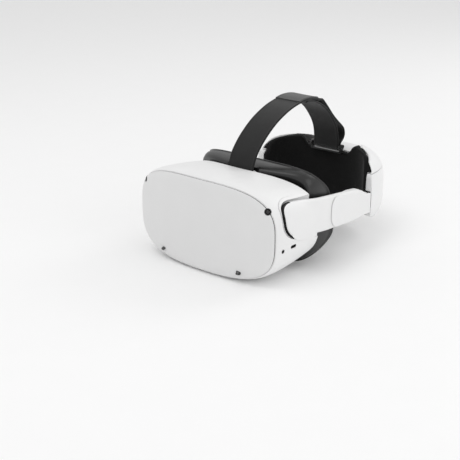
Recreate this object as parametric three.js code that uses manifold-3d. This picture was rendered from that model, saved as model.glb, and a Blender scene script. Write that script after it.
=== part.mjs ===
// A virtual reality headset: a white visor with two lenses, electronics and four tracking
// cameras, two speaker arms that tilt on pins in the visor's side pockets, a rear cradle that
// slides on the arms' tongues when its fit wheel is turned, and a two-layer fabric top strap.
//
// Millimetres. +Z is up, -Y is the way the wearer looks, +X is the wearer's left.
// The origin is on the flat under the visor, which stands on a table.

import * as THREE from 'three';
import { mergeVertices } from 'three/addons/utils/BufferGeometryUtils.js';
import Module from 'manifold-3d';

const wasm = await Module();
wasm.setup();

// ---------------------------------------------------------------- driving dimensions

const GAP = 0.3; // clearance between neighbouring pieces

const VISOR = {
  centreZ: 51, // height of the visor's mid plane over the table
  depth: 72, // from the cover seam to the rear rim, at the sides
  seamY: -12, // the seam at its sides
  seamHalfWidth: 92.9,
  seamHalfHeight: 48.7,
  seamExponent: 3.19,
  seamSag: 10.6, // how far the seam bows forward at its middle
  rimExponent: 2.94,
  rimSag: 22.7,
  rounding: 14, // depth over which the shell swells behind the seam
  swellX: 2.8,
  swellZ: 2.9,
  taperX: 5.0,
  taperZ: 4.0,
  wall: 2.2,
  ringPoints: 32,
};

const ARM = {
  pivotY: 16,
  pivotZ: 66.5,
  frontY: 1,
  stepY: 100, // where the arm narrows to plug into its sleeve
  endY: 116,
  outerX: 94,
  narrowing: 13, // how far the arm's outer face bends in towards the head
  thickFront: 10,
  thickRear: 8,
  wall: 1.6,
  plugInset: 2.2,
};

const POCKET = { floorX: 80, clearance: 4.2, wall: 1.6 };

const SLEEVE = { frontY: 85, frontBow: 12, endY: 167, proud: 1.3 };

const TONGUE = {
  startY: 122, endY: 203, x: 78.4, thick: 1.6, height: 16, z: 49.6, lean: 0.05, bend: 0.0075,
};

const CRADLE = {
  centreY: 153, // centre of the plan outline
  frontY: 168,
  centreZ: 51,
  halfWidth: 83,
  reach: 90, // from centreY to the rear
  exponent: 2.4,
  bottomZ: 24,
  wall: 2.2,
  padHalfWidth: 76,
  padReach: 50,
};

const FIT = { axisZ: 53, pitchR: 5, teeth: 12, knobR: 20, gearY: 224, gearThick: 3 };

const LENS = { spacing: 63, radius: 22.1, y: 33.5 };

const STRAP = { width: 35, thick: 1.8 };

// ---------------------------------------------------------------- small maths

const lerp = (a, b, t) => a + (b - a) * t;
const clamp01 = (t) => Math.min(1, Math.max(0, t));
const smooth = (from, to, value) => {
  const t = clamp01((value - from) / (to - from));
  return t * t * (3 - 2 * t);
};

// Points of a superellipse, evenly spaced along its outline.
function superOutline(halfA, halfB, exponent, count) {
  const fine = 16 * count;
  const dense = [];
  for (let i = 0; i <= fine; i += 1) {
    const angle = (2 * Math.PI * i) / fine;
    const c = Math.cos(angle);
    const s = Math.sin(angle);
    dense.push([
      halfA * Math.sign(c) * Math.abs(c) ** (2 / exponent),
      halfB * Math.sign(s) * Math.abs(s) ** (2 / exponent),
    ]);
  }
  const lengths = [0];
  for (let i = 1; i <= fine; i += 1) {
    const [p, q] = [dense[i - 1], dense[i]];
    lengths.push(lengths[i - 1] + Math.hypot(q[0] - p[0], q[1] - p[1]));
  }
  const points = [];
  let at = 0;
  for (let k = 0; k < count; k += 1) {
    const target = (lengths[fine] * k) / count;
    while (lengths[at + 1] < target) at += 1;
    const t = (target - lengths[at]) / (lengths[at + 1] - lengths[at] || 1);
    points.push([lerp(dense[at][0], dense[at + 1][0], t), lerp(dense[at][1], dense[at + 1][1], t)]);
  }
  return points;
}

// ---------------------------------------------------------------- solids from rings

function bufferFrom(points, faces) {
  const geometry = new THREE.BufferGeometry();
  geometry.setAttribute('position', new THREE.Float32BufferAttribute(points.flat(), 3));
  geometry.setIndex(faces.flat());
  return geometry;
}

// Quads between two rings of equal length that start at vertex indices a and b.
function bridge(faces, a, b, count) {
  for (let i = 0; i < count; i += 1) {
    const j = (i + 1) % count;
    faces.push([a + i, a + j, b + j], [a + i, b + j, b + i]);
  }
}

function signedVolume(points, faces) {
  let total = 0;
  for (const [a, b, c] of faces) {
    const [p, q, r] = [points[a], points[b], points[c]];
    total += p[0] * (q[1] * r[2] - q[2] * r[1]);
    total += p[1] * (q[2] * r[0] - q[0] * r[2]);
    total += p[2] * (q[0] * r[1] - q[1] * r[0]);
  }
  return total;
}

function outward(points, faces) {
  if (signedVolume(points, faces) < 0) faces.forEach((face) => face.reverse());
  return bufferFrom(points, faces);
}

// A solid skinned over rings in order, closed by a fan at each end.
function loft(rings) {
  const count = rings[0].length;
  const points = rings.flat();
  const faces = [];
  for (let k = 0; k + 1 < rings.length; k += 1) bridge(faces, k * count, (k + 1) * count, count);
  const ends = [[rings[0], 0, false], [rings[rings.length - 1], (rings.length - 1) * count, true]];
  for (const [ring, start, flip] of ends) {
    const middle = [0, 1, 2].map((axis) => ring.reduce((sum, p) => sum + p[axis], 0) / count);
    points.push(middle);
    for (let i = 0; i < count; i += 1) {
      const face = [start + i, points.length - 1, start + ((i + 1) % count)];
      faces.push(flip ? face.reverse() : face);
    }
  }
  return outward(points, faces);
}

// A ring-shaped solid skinned over rings in order and back to the first.
function loftLoop(rings) {
  const count = rings[0].length;
  const faces = [];
  rings.forEach((_, k) => bridge(faces, k * count, ((k + 1) % rings.length) * count, count));
  return outward(rings.flat(), faces);
}

// ---------------------------------------------------------------- joins and cuts

function solid(geometry) {
  const bare = geometry.clone();
  bare.deleteAttribute('normal');
  bare.deleteAttribute('uv');
  const merged = mergeVertices(bare, 1e-4);
  const mesh = new wasm.Mesh({
    numProp: 3,
    vertProperties: new Float32Array(merged.attributes.position.array),
    triVerts: new Uint32Array(merged.index.array),
  });
  return new wasm.Manifold(mesh);
}

function geometryOf(manifold) {
  const mesh = manifold.getMesh();
  const geometry = new THREE.BufferGeometry();
  geometry.setAttribute('position', new THREE.BufferAttribute(mesh.vertProperties, 3));
  geometry.setIndex(new THREE.BufferAttribute(mesh.triVerts, 1));
  return geometry;
}

const cut = (base, ...tools) => tools.reduce((body, tool) => body.subtract(tool), base);
const join = (base, ...others) => others.reduce((body, other) => body.add(other), base);

// ---------------------------------------------------------------- basic shapes

function boxAt(minimum, maximum) {
  const size = maximum.map((value, axis) => value - minimum[axis]);
  const centre = maximum.map((value, axis) => (value + minimum[axis]) / 2);
  return new THREE.BoxGeometry(...size).translate(...centre);
}

// A cylinder along an axis, from one coordinate to another, through a point in the other two.
function cylinder(axis, from, to, centre, radius, segments = 14) {
  const geometry = new THREE.CylinderGeometry(radius, radius, to - from, segments);
  const middle = (from + to) / 2;
  if (axis === 'x') return geometry.rotateZ(-Math.PI / 2).translate(middle, centre[0], centre[1]);
  if (axis === 'y') return geometry.translate(centre[0], middle, centre[1]);
  return geometry.rotateX(Math.PI / 2).translate(centre[0], centre[1], middle);
}

function shapeOf(points) {
  return new THREE.Shape(points.map(([u, v]) => new THREE.Vector2(u, v)));
}

function pill(centreU, centreV, length, width, arcPoints = 4) {
  const radius = width / 2;
  const reach = length / 2 - radius;
  const points = [];
  for (const side of [1, -1]) {
    for (let i = 0; i <= arcPoints; i += 1) {
      const angle = -Math.PI / 2 + (Math.PI * i) / arcPoints;
      const u = centreU + side * (reach + radius * Math.cos(angle));
      points.push([u, centreV + side * radius * Math.sin(angle)]);
    }
  }
  return points;
}

// An outline swept along one axis. Its two coordinates are (Y, Z), (X, Z) and (X, Y).
function prism(axis, points, from, to) {
  const settings = { depth: to - from, bevelEnabled: false };
  const geometry = new THREE.ExtrudeGeometry(shapeOf(points), settings);
  if (axis === 'x') {
    geometry.applyMatrix4(new THREE.Matrix4().set(0, 0, 1, from, 1, 0, 0, 0, 0, 1, 0, 0, 0, 0, 0, 1));
  } else if (axis === 'y') {
    geometry.applyMatrix4(new THREE.Matrix4().set(1, 0, 0, 0, 0, 0, -1, to, 0, 1, 0, 0, 0, 0, 0, 1));
  } else {
    geometry.translate(0, 0, from);
  }
  return geometry;
}

// A closed profile of [radius, height] pairs turned about an axis through a point. A profile
// whose area runs the other way round is reversed, so that its faces point out.
function turned(axis, profile, centre, segments = 18) {
  const area = profile.reduce((sum, [r, h], i) => {
    const [nextR, nextH] = profile[(i + 1) % profile.length];
    return sum + r * nextH - nextR * h;
  }, 0);
  const ordered = area > 0 ? profile : [...profile].reverse();
  const points = ordered.map(([r, h]) => new THREE.Vector2(r, h));
  const geometry = new THREE.LatheGeometry(points, segments);
  if (axis === 'x') return geometry.rotateZ(-Math.PI / 2).translate(0, centre[0], centre[1]);
  return geometry.translate(centre[0], 0, centre[1]);
}

const mirrorX = (manifold) => manifold.mirror([1, 0, 0]);

// ---------------------------------------------------------------- materials

const standard = (color, roughness, metalness = 0) => {
  return new THREE.MeshStandardMaterial({ color, roughness, metalness });
};

const MATERIAL = {
  whitePlastic: standard(0xe6e6e6, 0.45),
  blackPlastic: standard(0x1c1c1d, 0.5),
  satinBlack: standard(0x242425, 0.3),
  fabric: standard(0x2b2b2c, 0.95),
  foam: standard(0x101011, 1.0),
  rubber: standard(0x1a1a1a, 0.8),
  glass: standard(0x0a0c10, 0.08),
  lens: standard(0xc8d4dc, 0.05),
  steel: standard(0xa8aaad, 0.35, 1),
  aluminium: standard(0xb9bcc0, 0.4, 1),
  board: standard(0x1f4a33, 0.55),
  battery: standard(0x2a2c30, 0.6),
  display: standard(0x08090b, 0.1),
};

const group = new THREE.Group();

function addPiece(name, shape, material) {
  const geometry = shape instanceof THREE.BufferGeometry ? shape : geometryOf(shape);
  const mesh = new THREE.Mesh(geometry, MATERIAL[material]);
  mesh.name = name;
  group.add(mesh);
}

// The same piece on both sides: made on the wearer's left and mirrored to the right.
function addPair(suffix, shape, material) {
  const left = shape instanceof THREE.BufferGeometry ? solid(shape) : shape;
  addPiece(`left_${suffix}`, left, material);
  addPiece(`right_${suffix}`, mirrorX(left), material);
}

// ---------------------------------------------------------------- visor outline

// Half sizes of the visor a given depth behind the cover seam.
function visorSize(depth) {
  const front = clamp01(depth / VISOR.rounding);
  const rise = Math.sqrt(1 - (1 - front) ** 2);
  const back = clamp01((depth - VISOR.rounding) / (VISOR.depth - VISOR.rounding)) ** 1.8;
  return {
    halfWidth: VISOR.seamHalfWidth + VISOR.swellX * rise - VISOR.taperX * back,
    halfHeight: VISOR.seamHalfHeight + VISOR.swellZ * rise - VISOR.taperZ * back,
    exponent: lerp(VISOR.seamExponent, VISOR.rimExponent, clamp01(depth / VISOR.depth)),
    sag: lerp(VISOR.seamSag, VISOR.rimSag, clamp01(depth / VISOR.depth)),
  };
}

// One ring of the visor, shrunk by inset and moved along Y by shift. The underside is cut flat
// at the table's height.
function visorRing(depth, inset = 0, shift = 0) {
  const size = visorSize(depth);
  const halfA = size.halfWidth - inset;
  const halfB = size.halfHeight - inset;
  const floor = -VISOR.centreZ + inset;
  const crown = 1.1 * (1 - clamp01(depth / VISOR.depth));
  return superOutline(halfA, halfB, size.exponent, VISOR.ringPoints).map(([x, z]) => {
    const bow = size.sag * (1 - (x / halfA) ** 2) + crown * (1 - (z / halfB) ** 2);
    return [x, VISOR.seamY + depth - bow + shift, Math.max(z, floor) + VISOR.centreZ];
  });
}

function visorSolid(inset) {
  const depths = [0, 5, 14, 36, VISOR.depth];
  const last = depths.length - 1;
  const extra = inset > 0 ? 3 : 0;
  return loft(depths.map((depth, k) => {
    const shift = (k === 0 ? -extra : 0) + (k === last ? extra : 0);
    return visorRing(depth, inset, shift);
  }));
}

// ---------------------------------------------------------------- speaker arm outline

const armOuterX = (y) => ARM.outerX - ARM.narrowing * smooth(-5, 180, y);
const armThick = (y) => lerp(ARM.thickFront, ARM.thickRear, smooth(20, 60, y));

// The arm's top edge falls gently to the rear, and its front corner is a tight arc.
function armTop(y) {
  const corner = 9;
  const inside = clamp01((y - ARM.frontY) / corner);
  return 84.5 - 0.1 * (y - 15) - corner * (1 - Math.sqrt(1 - (1 - inside) ** 2));
}

// The lower edge sweeps up to the front in a long arc.
function armBottom(y) {
  const reach = 26;
  const height = 20;
  const inside = clamp01((y - ARM.frontY) / reach);
  return 47.5 - 0.085 * (y - 12) + height * (1 - Math.sqrt(1 - (1 - inside) ** 2));
}

// A rounded rectangle in X and Z at one station along Y.
function stationRing(y, xLow, xHigh, zLow, zHigh, corner) {
  const radius = Math.min(corner, (xHigh - xLow) / 2 - 0.01, (zHigh - zLow) / 2 - 0.01);
  const ring = [];
  const centres = [[xHigh, zHigh, 0], [xLow, zHigh, 1], [xLow, zLow, 2], [xHigh, zLow, 3]];
  for (const [cornerX, cornerZ, quarter] of centres) {
    const cx = cornerX + (cornerX === xHigh ? -radius : radius);
    const cz = cornerZ + (cornerZ === zHigh ? -radius : radius);
    for (let i = 0; i <= 1; i += 1) {
      const angle = (quarter + i) * (Math.PI / 2);
      ring.push([cx + radius * Math.cos(angle), y, cz + radius * Math.sin(angle)]);
    }
  }
  return ring;
}

const ARM_STATIONS = [ARM.frontY, 3, 7, 14, 27, 48, 74, ARM.stepY];

// The arm's outline grown by a margin. Past the step it narrows to the plug in the sleeve.
function armSolid(grow, corner = 3) {
  const last = ARM_STATIONS.length - 1;
  const rings = ARM_STATIONS.map((y, k) => {
    const outer = armOuterX(y);
    const shift = (k === 0 ? -grow : 0) + (k === last ? grow : 0);
    return stationRing(
      y + shift, outer - armThick(y) - grow, outer + grow,
      armBottom(y) - grow, armTop(y) + grow, corner,
    );
  });
  for (const y of [ARM.stepY + grow, ARM.endY + grow]) {
    const outer = armOuterX(y) - ARM.plugInset / 2;
    rings.push(stationRing(
      y, outer - armThick(y) + ARM.plugInset - grow, outer + grow,
      armBottom(y) + ARM.plugInset - grow, armTop(y) - ARM.plugInset + grow, corner - 1,
    ));
  }
  return loft(rings);
}

// ---------------------------------------------------------------- visor shell and cover

// The pocket that takes an arm, seen from the side, with its edge a clearance outside the arm.
function pocketOutline(margin) {
  const top = [];
  const bottom = [];
  for (let y = ARM.frontY; y < 95; y += y < 12 ? 3 : 13) {
    const ahead = margin * Math.max(0, 1 - (y - ARM.frontY) / 12);
    top.push([y - ahead, armTop(y) + margin]);
    bottom.push([y - ahead, armBottom(y) - margin]);
  }
  return [...bottom, ...top.reverse()];
}

const CAMERAS = {
  upper: { at: [85, -16, 82], aim: [0.55, -0.75, 0.35], radius: 3.3 },
  lower: { at: [54, -24.4, 10.4], aim: [0.35, -0.8, -0.5], radius: 2.6 },
};

// A short cylinder about a camera's axis, from one distance along it to another.
function alongCamera(camera, from, to, radius, segments = 12) {
  const aim = new THREE.Vector3(...camera.aim).normalize();
  const turn = new THREE.Quaternion().setFromUnitVectors(new THREE.Vector3(0, 1, 0), aim);
  const geometry = new THREE.CylinderGeometry(radius, radius, to - from, segments);
  geometry.translate(0, (from + to) / 2, 0);
  geometry.applyQuaternion(turn);
  return geometry.translate(...camera.at);
}

function cameraBores() {
  return Object.values(CAMERAS).flatMap((camera) => {
    const bore = solid(alongCamera(camera, -12, 8, camera.radius + GAP));
    return [bore, mirrorX(bore)];
  });
}

const PORTS = {
  usb: { y: 12.9, z: 40.9, length: 8.4, width: 2.8 },
  audio: { y: -3.6, z: 39.8, length: 3.6, width: 3.6 },
};

const POWER = { y: 6, z: 36, length: 11, width: 4.4, faceX: -95.9 };
const LIGHT = { y: 19, z: 36, radius: 1 };
const VOLUME = { x: -41, y: 2, z: 3, length: 20, width: 5 };

function makeVisorShell() {
  const outer = solid(visorSolid(0));
  const inner = solid(visorSolid(VISOR.wall));
  const tub = solid(prism('x', pocketOutline(POCKET.clearance + POCKET.wall),
    POCKET.floorX - POCKET.wall, 99)).intersect(outer);
  const hollow = solid(prism('x', pocketOutline(POCKET.clearance), POCKET.floorX, 99));
  const pinHole = solid(cylinder('x', 70, 90, [ARM.pivotY, ARM.pivotZ], 3 + GAP));
  const usb = PORTS.usb;
  const audio = PORTS.audio;
  const rocker = VOLUME;
  const shell = join(cut(outer, inner), tub, mirrorX(tub));
  return cut(
    shell, hollow, mirrorX(hollow), pinHole, mirrorX(pinHole), ...cameraBores(),
    solid(prism('x', pill(usb.y, usb.z, usb.length + 1, usb.width + 1), 84, 99)),
    solid(prism('x', pill(audio.y, audio.z, audio.length + 1, audio.width + 0.99), 84, 99)),
    solid(prism('x', pill(POWER.y, POWER.z, POWER.length + 0.8, POWER.width + 0.8), -99, -88)),
    solid(cylinder('x', -99, -88, [LIGHT.y, LIGHT.z], LIGHT.radius + GAP, 12)),
    solid(boxAt(
      [rocker.x - rocker.length / 2 - 0.5, rocker.y - rocker.width / 2 - 0.5, -5],
      [rocker.x + rocker.length / 2 + 0.5, rocker.y + rocker.width / 2 + 0.5, 6],
    )),
  );
}

// The face plate: a shallow domed dish whose edge curves back to the seam.
function makeFrontCover() {
  const rise = 2.2;
  const edge = 9;
  const wall = 2;
  const ring = (inset, forward) => visorRing(0, inset, -forward);
  const shrunk = (factor, forward) => {
    const base = ring(edge, forward);
    return base.map(([x, y, z]) => {
      const bowBack = VISOR.seamSag * ((x / VISOR.seamHalfWidth) ** 2) * (1 - factor ** 2);
      return [x * factor, y - bowBack, VISOR.centreZ + (z - VISOR.centreZ) * factor];
    });
  };
  const outside = [];
  for (let i = 0; i <= 2; i += 1) {
    const angle = (Math.PI / 2) * (i / 2);
    outside.push(ring(edge * (1 - Math.cos(angle)), GAP + rise * Math.sin(angle)));
  }
  const faces = [0.6, 0.3];
  const inside = faces.map((factor) => shrunk(factor, rise + GAP - wall)).reverse();
  inside.push(ring(edge, rise + GAP - wall), ring(wall, GAP));
  return cut(
    solid(loft([...inside, ...outside, ...faces.map((factor) => shrunk(factor, rise + GAP))])),
    ...cameraBores(),
  );
}

function addVisorCase() {
  addPiece('visor_shell', makeVisorShell(), 'whitePlastic');
  addPiece('front_cover', makeFrontCover(), 'whitePlastic');
}

function addCameras() {
  for (const [level, camera] of Object.entries(CAMERAS)) {
    const barrel = solid(alongCamera(camera, -7, 0.4, camera.radius));
    const eye = solid(alongCamera(camera, 0.4, 1.1, camera.radius * 0.62));
    const body = join(barrel, eye);
    addPiece(`camera_${level}_left`, body, 'glass');
    addPiece(`camera_${level}_right`, mirrorX(body), 'glass');
  }
}

function addPorts() {
  const usb = PORTS.usb;
  const shield = solid(prism('x', pill(usb.y, usb.z, usb.length, usb.width), 86, 94.2));
  const mouth = solid(prism('x', pill(usb.y, usb.z, usb.length - 1, usb.width - 1), 88, 99));
  const tab = solid(boxAt([87, usb.y - 3, usb.z - 0.35], [93.4, usb.y + 3, usb.z + 0.35]));
  addPiece('usb_socket', join(cut(shield, mouth), tab), 'steel');
  const audio = PORTS.audio;
  const centre = [audio.y, audio.z];
  const barrel = solid(cylinder('x', 84, 94.2, centre, audio.length / 2));
  const bore = solid(cylinder('x', 86, 99, centre, 1.1));
  addPiece('audio_jack', cut(barrel, bore), 'blackPlastic');
}

function addButtons() {
  const { y, z, length, width, faceX } = POWER;
  const cap = solid(prism('x', pill(y, z, length, width), faceX, -91));
  const flange = solid(prism('x', pill(y, z, length + 2, width + 2), -91.2, -90.2));
  addPiece('power_button', join(cap, flange), 'whitePlastic');
  addPiece('status_light', cylinder('x', -95.2, -90, [LIGHT.y, LIGHT.z], LIGHT.radius, 12), 'lens');
  const half = VOLUME.length / 2;
  const rocker = prism('y', [
    [VOLUME.x - half, 0.8], [VOLUME.x + half, 0.8], [VOLUME.x + half, 3.2], [VOLUME.x + 2, 4.6],
    [VOLUME.x - 2, 4.6], [VOLUME.x - half, 3.2],
  ], VOLUME.y - VOLUME.width / 2, VOLUME.y + VOLUME.width / 2);
  addPiece('volume_rocker', rocker, 'whitePlastic');
}

// ---------------------------------------------------------------- electronics

function addElectronics() {
  const board = solid(boxAt([-66, -11.8, 20], [66, -10.2, 84]));
  addPiece('main_board', board, 'board');
  addPiece('processor_shield', boxAt([8, -9.9, 44], [36, -8, 68]), 'steel');
  addPiece('battery_cell', boxAt([-58, -16.8, 28], [-20, -12.2, 76]), 'battery');
  const base = solid(boxAt([21, -13.8, 34], [58, -12.1, 72]));
  const fins = [0, 1, 2, 3, 4, 5].map((k) => {
    const z = 36 + 6.4 * k;
    return solid(boxAt([21, -17.6, z], [58, -13.7, z + 1.6]));
  });
  addPiece('heat_sink', join(base, ...fins), 'aluminium');
  const frame = solid(boxAt([-70, -7, 15], [70, -4, 87]));
  const window = solid(boxAt([-62, -9, 22], [62, -2, 80]));
  addPiece('display_bracket', cut(frame, window), 'blackPlastic');
  addPiece('display_panel', boxAt([-66, -3.6, 18], [66, -1.8, 84]), 'display');
}

const FAN = { x: 0, z: 56, radius: 16.5 };

function addFan() {
  const { x, z, radius } = FAN;
  const housing = turned('y', [
    [0, -20], [1.5, -20], [1.5, -13.9], [radius - 2, -13.9], [radius - 2, -21], [radius, -21],
    [radius, -12.9], [0, -12.9],
  ], [x, z]);
  addPiece('fan_housing', housing, 'blackPlastic');
  const hub = solid(cylinder('y', -20.4, -14.4, [x, z], 5));
  const blades = [];
  for (let k = 0; k < 5; k += 1) {
    const blade = boxAt([3.5, -2.6, -0.5], [radius - 3, 2.6, 0.5]);
    blade.rotateX(0.5);
    blade.rotateY((2 * Math.PI * k) / 5);
    blade.translate(x, -17.4, z);
    blades.push(solid(blade));
  }
  const slab = solid(boxAt([-20, -20.4, 30], [20, -14.4, 80]));
  const bore = solid(cylinder('y', -30, -10, [x, z], 1.5 + GAP));
  addPiece('fan_rotor', cut(join(hub, ...blades).intersect(slab), bore), 'blackPlastic');
}

// ---------------------------------------------------------------- optics

const RAIL_OFFSET = 30;

function addLenses() {
  const centreZ = VISOR.centreZ;
  const centreX = LENS.spacing / 2;
  const tube = (grow) => {
    const rings = [[0, 25.6, 2], [20, 23.8, 0.4], [36, 23.6, 0]];
    return loft(rings.map(([y, half, corner], k) => {
      const stretch = grow < 0 ? (k === 0 ? -2 : 0) : 0;
      return superOutline(half + grow, half + grow, 2 + corner, 20).map(([x, z]) => {
        return [x + centreX, y + stretch, z + centreZ];
      });
    }));
  };
  const seat = solid(cylinder('y', 31.4, 40, [centreX, centreZ], LENS.radius + GAP, 24));
  const lightPath = solid(tube(-2.6));
  const tabs = [1, -1].map((side) => {
    const low = centreZ + side * (RAIL_OFFSET - 1) - 5;
    return solid(boxAt([centreX - 7, 3, low], [centreX + 7, 13, low + 10]));
  });
  const railHoles = [1, -1].map((side) => {
    return solid(cylinder('x', 0, 80, [8, centreZ + side * RAIL_OFFSET], 1.5 + GAP, 12));
  });
  const carrier = cut(join(solid(tube(0)), ...tabs), lightPath, seat, ...railHoles);
  addPair('lens_carrier', carrier, 'blackPlastic');
  const half = 1.6;
  const dome = (bulge, count) => {
    const points = [];
    for (let i = 0; i <= count; i += 1) {
      const r = (LENS.radius * (count - i)) / count;
      points.push([r, bulge * (1 - (r / LENS.radius) ** 2)]);
    }
    return points;
  };
  const rear = dome(3.4, 3).map(([r, h]) => [r, LENS.y + half + h]);
  const front = dome(3.4, 3).map(([r, h]) => [r, LENS.y - half - h]).reverse();
  addPair('lens', turned('y', [...front, ...rear], [centreX, centreZ], 24), 'lens');
  for (const [name, side] of [['upper', 1], ['lower', -1]]) {
    const centre = [8, centreZ + side * RAIL_OFFSET];
    addPiece(`lens_rail_${name}`, cylinder('x', -65.7, 65.7, centre, 1.5, 12), 'steel');
  }
}

const SCREW_SPOTS = { upper: [62, 80], lower: [62, 22] };

// The dark plate behind the lenses that the wearer sees, with lugs for the lens rails.
function addRearBezel() {
  const outline = superOutline(78, 41.5, 4, 28);
  const plate = solid(prism('y', outline.map(([x, z]) => [x, z + VISOR.centreZ]), 30, 32.5));
  const eye = superOutline(28, 25, 2, 20);
  const eyes = [1, -1].map((side) => {
    const hole = eye.map(([x, z]) => [x + (side * LENS.spacing) / 2, z + VISOR.centreZ]);
    return solid(prism('y', hole, 25, 38));
  });
  const lugs = [];
  for (const side of [1, -1]) {
    for (const level of [1, -1]) {
      const z = VISOR.centreZ + level * RAIL_OFFSET;
      const lug = solid(boxAt([66, 4, z - 4], [69.7, 30.5, z + 4]));
      lugs.push(side > 0 ? lug : mirrorX(lug));
    }
  }
  const holes = Object.values(SCREW_SPOTS).flatMap(([x, z]) => {
    const hole = solid(cylinder('y', 28, 40, [x, z], 1.5, 12));
    return [hole, mirrorX(hole)];
  });
  addPiece('rear_bezel', cut(join(plate, ...lugs), ...eyes, ...holes), 'blackPlastic');
  for (const [level, spot] of Object.entries(SCREW_SPOTS)) {
    const screw = turned('y', [[0, 22], [1.2, 22], [1.2, 32.8], [2.6, 32.8], [2.6, 34.3], [0, 34.3]],
      spot, 10);
    addPair(`bezel_screw_${level}`, screw, 'steel');
  }
  addPiece('wear_sensor', boxAt([-3.4, 32.8, 62], [3.4, 34, 67]), 'glass');
}

// ---------------------------------------------------------------- facial interface

const FACE = {
  halfWidth: 77.5,
  upper: { halfHeight: 52.5, exponent: 6.5, rearY: 75.5, templeY: 98 },
  lower: { halfHeight: 49.5, exponent: 6.5, rearY: 64.5, templeY: 101 },
  points: 28,
  padDepth: 7,
  rimGap: 7, // from the visor's rim back to the band
  skirt: 10, // how far the band reaches forward into the visor
};

// How far back the cushion reaches at a point of its outline: least over the brow and beside
// the nose, most at the temples and cheeks.
function faceRearY(x, z) {
  const { halfHeight } = z > 0 ? FACE.upper : FACE.lower;
  const rear = lerp(FACE.lower.rearY, FACE.upper.rearY, smooth(-30, 30, z));
  const temple = lerp(FACE.lower.templeY, FACE.upper.templeY, smooth(-18, -11, z));
  const sweep = clamp01((1 - Math.abs(z) / halfHeight) / 0.62);
  return lerp(rear, temple, Math.sin((Math.PI / 2) * sweep) ** 1.3);
}

// The outline reaches a little higher over the brow than it does below.
function faceOutline() {
  const half = ({ halfHeight, exponent }) => {
    return superOutline(FACE.halfWidth, halfHeight, exponent, FACE.points);
  };
  const upper = half(FACE.upper);
  return half(FACE.lower).map((point, k) => (k <= FACE.points / 2 ? upper[k] : point));
}

function faceRing(inset, yOf) {
  return faceOutline().map(([x, z]) => {
    const { halfHeight } = z > 0 ? FACE.upper : FACE.lower;
    const scaleX = (FACE.halfWidth - inset) / FACE.halfWidth;
    const scaleZ = (halfHeight - inset) / halfHeight;
    return [x * scaleX, yOf(x, z), z * scaleZ + VISOR.centreZ];
  });
}

function addFacialInterface() {
  const rimHalfWidth = VISOR.seamHalfWidth + VISOR.swellX - VISOR.taperX;
  const rimY = VISOR.seamY + VISOR.depth;
  const front = (x) => rimY - VISOR.rimSag * (1 - (x / rimHalfWidth) ** 2) + FACE.rimGap;
  const skirt = (x) => front(x) - FACE.skirt;
  const rear = (x, z) => faceRearY(x, z) - FACE.padDepth;
  const middle = (x, z) => lerp(front(x), rear(x, z), 0.5);
  const frame = loftLoop([
    faceRing(13.5, skirt), faceRing(13.5, (x) => front(x) - 1), faceRing(5, front),
    faceRing(1.2, middle), faceRing(1, rear), faceRing(9, rear), faceRing(9, (x, z) => rear(x, z) - 2),
    faceRing(3.4, (x, z) => rear(x, z) - 2.4), faceRing(3.6, middle),
    faceRing(7.4, (x) => front(x) + 1.8), faceRing(15.5, (x) => front(x) + 0.8), faceRing(15.5, skirt),
  ]);
  const slot = solid(boxAt([-21.6, 30, 84], [21.6, 47, 102]));
  addPiece('facial_interface_frame', cut(solid(frame), slot), 'satinBlack');
  const cushion = loftLoop([
    faceRing(1.2, (x, z) => rear(x, z) + 1.8), faceRing(0.4, (x, z) => rear(x, z) + 3.5),
    faceRing(3, faceRearY), faceRing(10, faceRearY), faceRing(12.5, (x, z) => rear(x, z) + 3.5),
    faceRing(11.5, (x, z) => rear(x, z) + 1.8),
  ]);
  addPiece('face_cushion', solid(cushion), 'foam');
  const flap = prism('y', [
    [-22, 13], [22, 13], [17, 24], [8, 17], [-8, 17], [-17, 24],
  ], 48.2, 49.6);
  addPiece('nose_flap', flap, 'rubber');
  addPiece('strap_anchor', cylinder('x', -21, 21, [37, 90], 1.5, 12), 'steel');
}

// ---------------------------------------------------------------- speaker arms

function addArms() {
  const whole = solid(armSolid(0));
  const cavity = solid(armSolid(-ARM.wall, 2));
  const skin = cut(whole, cavity);
  const outerSide = (offset) => loft([-6, 30, 60, 90, 121].map((y) => {
    const split = armOuterX(y) - armThick(y) / 2 + offset;
    return stationRing(y, split, split + 30, 20, 110, 0.5);
  }));
  const innerSide = (offset) => loft([-6, 30, 60, 90, 121].map((y) => {
    const split = armOuterX(y) - armThick(y) / 2 - offset;
    return stationRing(y, split - 30, split, 20, 110, 0.5);
  }));
  const pinBore = solid(cylinder('x', 70, 87, [ARM.pivotY, ARM.pivotZ], 3 + GAP));
  addPair('speaker_arm', skin.intersect(solid(outerSide(0.15))), 'whitePlastic');
  const grille = [0, 1, 2].map((k) => {
    return solid(prism('x', pill(35 + 8 * k, 73.4 - 0.8 * k, 6, 2, 2), 70, 87.3));
  });
  const cover = cut(skin.intersect(solid(innerSide(0.15))), pinBore, ...grille);
  addPair('arm_inner_cover', cover, 'whitePlastic');
  const driverX = armOuterX(42) - armThick(42) / 2;
  const driver = prism('x', pill(42, 64, 26, 15), driverX - 1.5, driverX + 1.5);
  addPair('speaker_driver', driver, 'blackPlastic');
  const pin = turned('x', [
    [0, 75.6], [5, 75.6], [5, 78.1], [3, 78.1], [3, 86.8], [4.6, 86.8], [4.6, 88.8], [0, 88.8],
  ], [ARM.pivotY, ARM.pivotZ], 14);
  addPair('pivot_pin', pin, 'steel');
}

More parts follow.
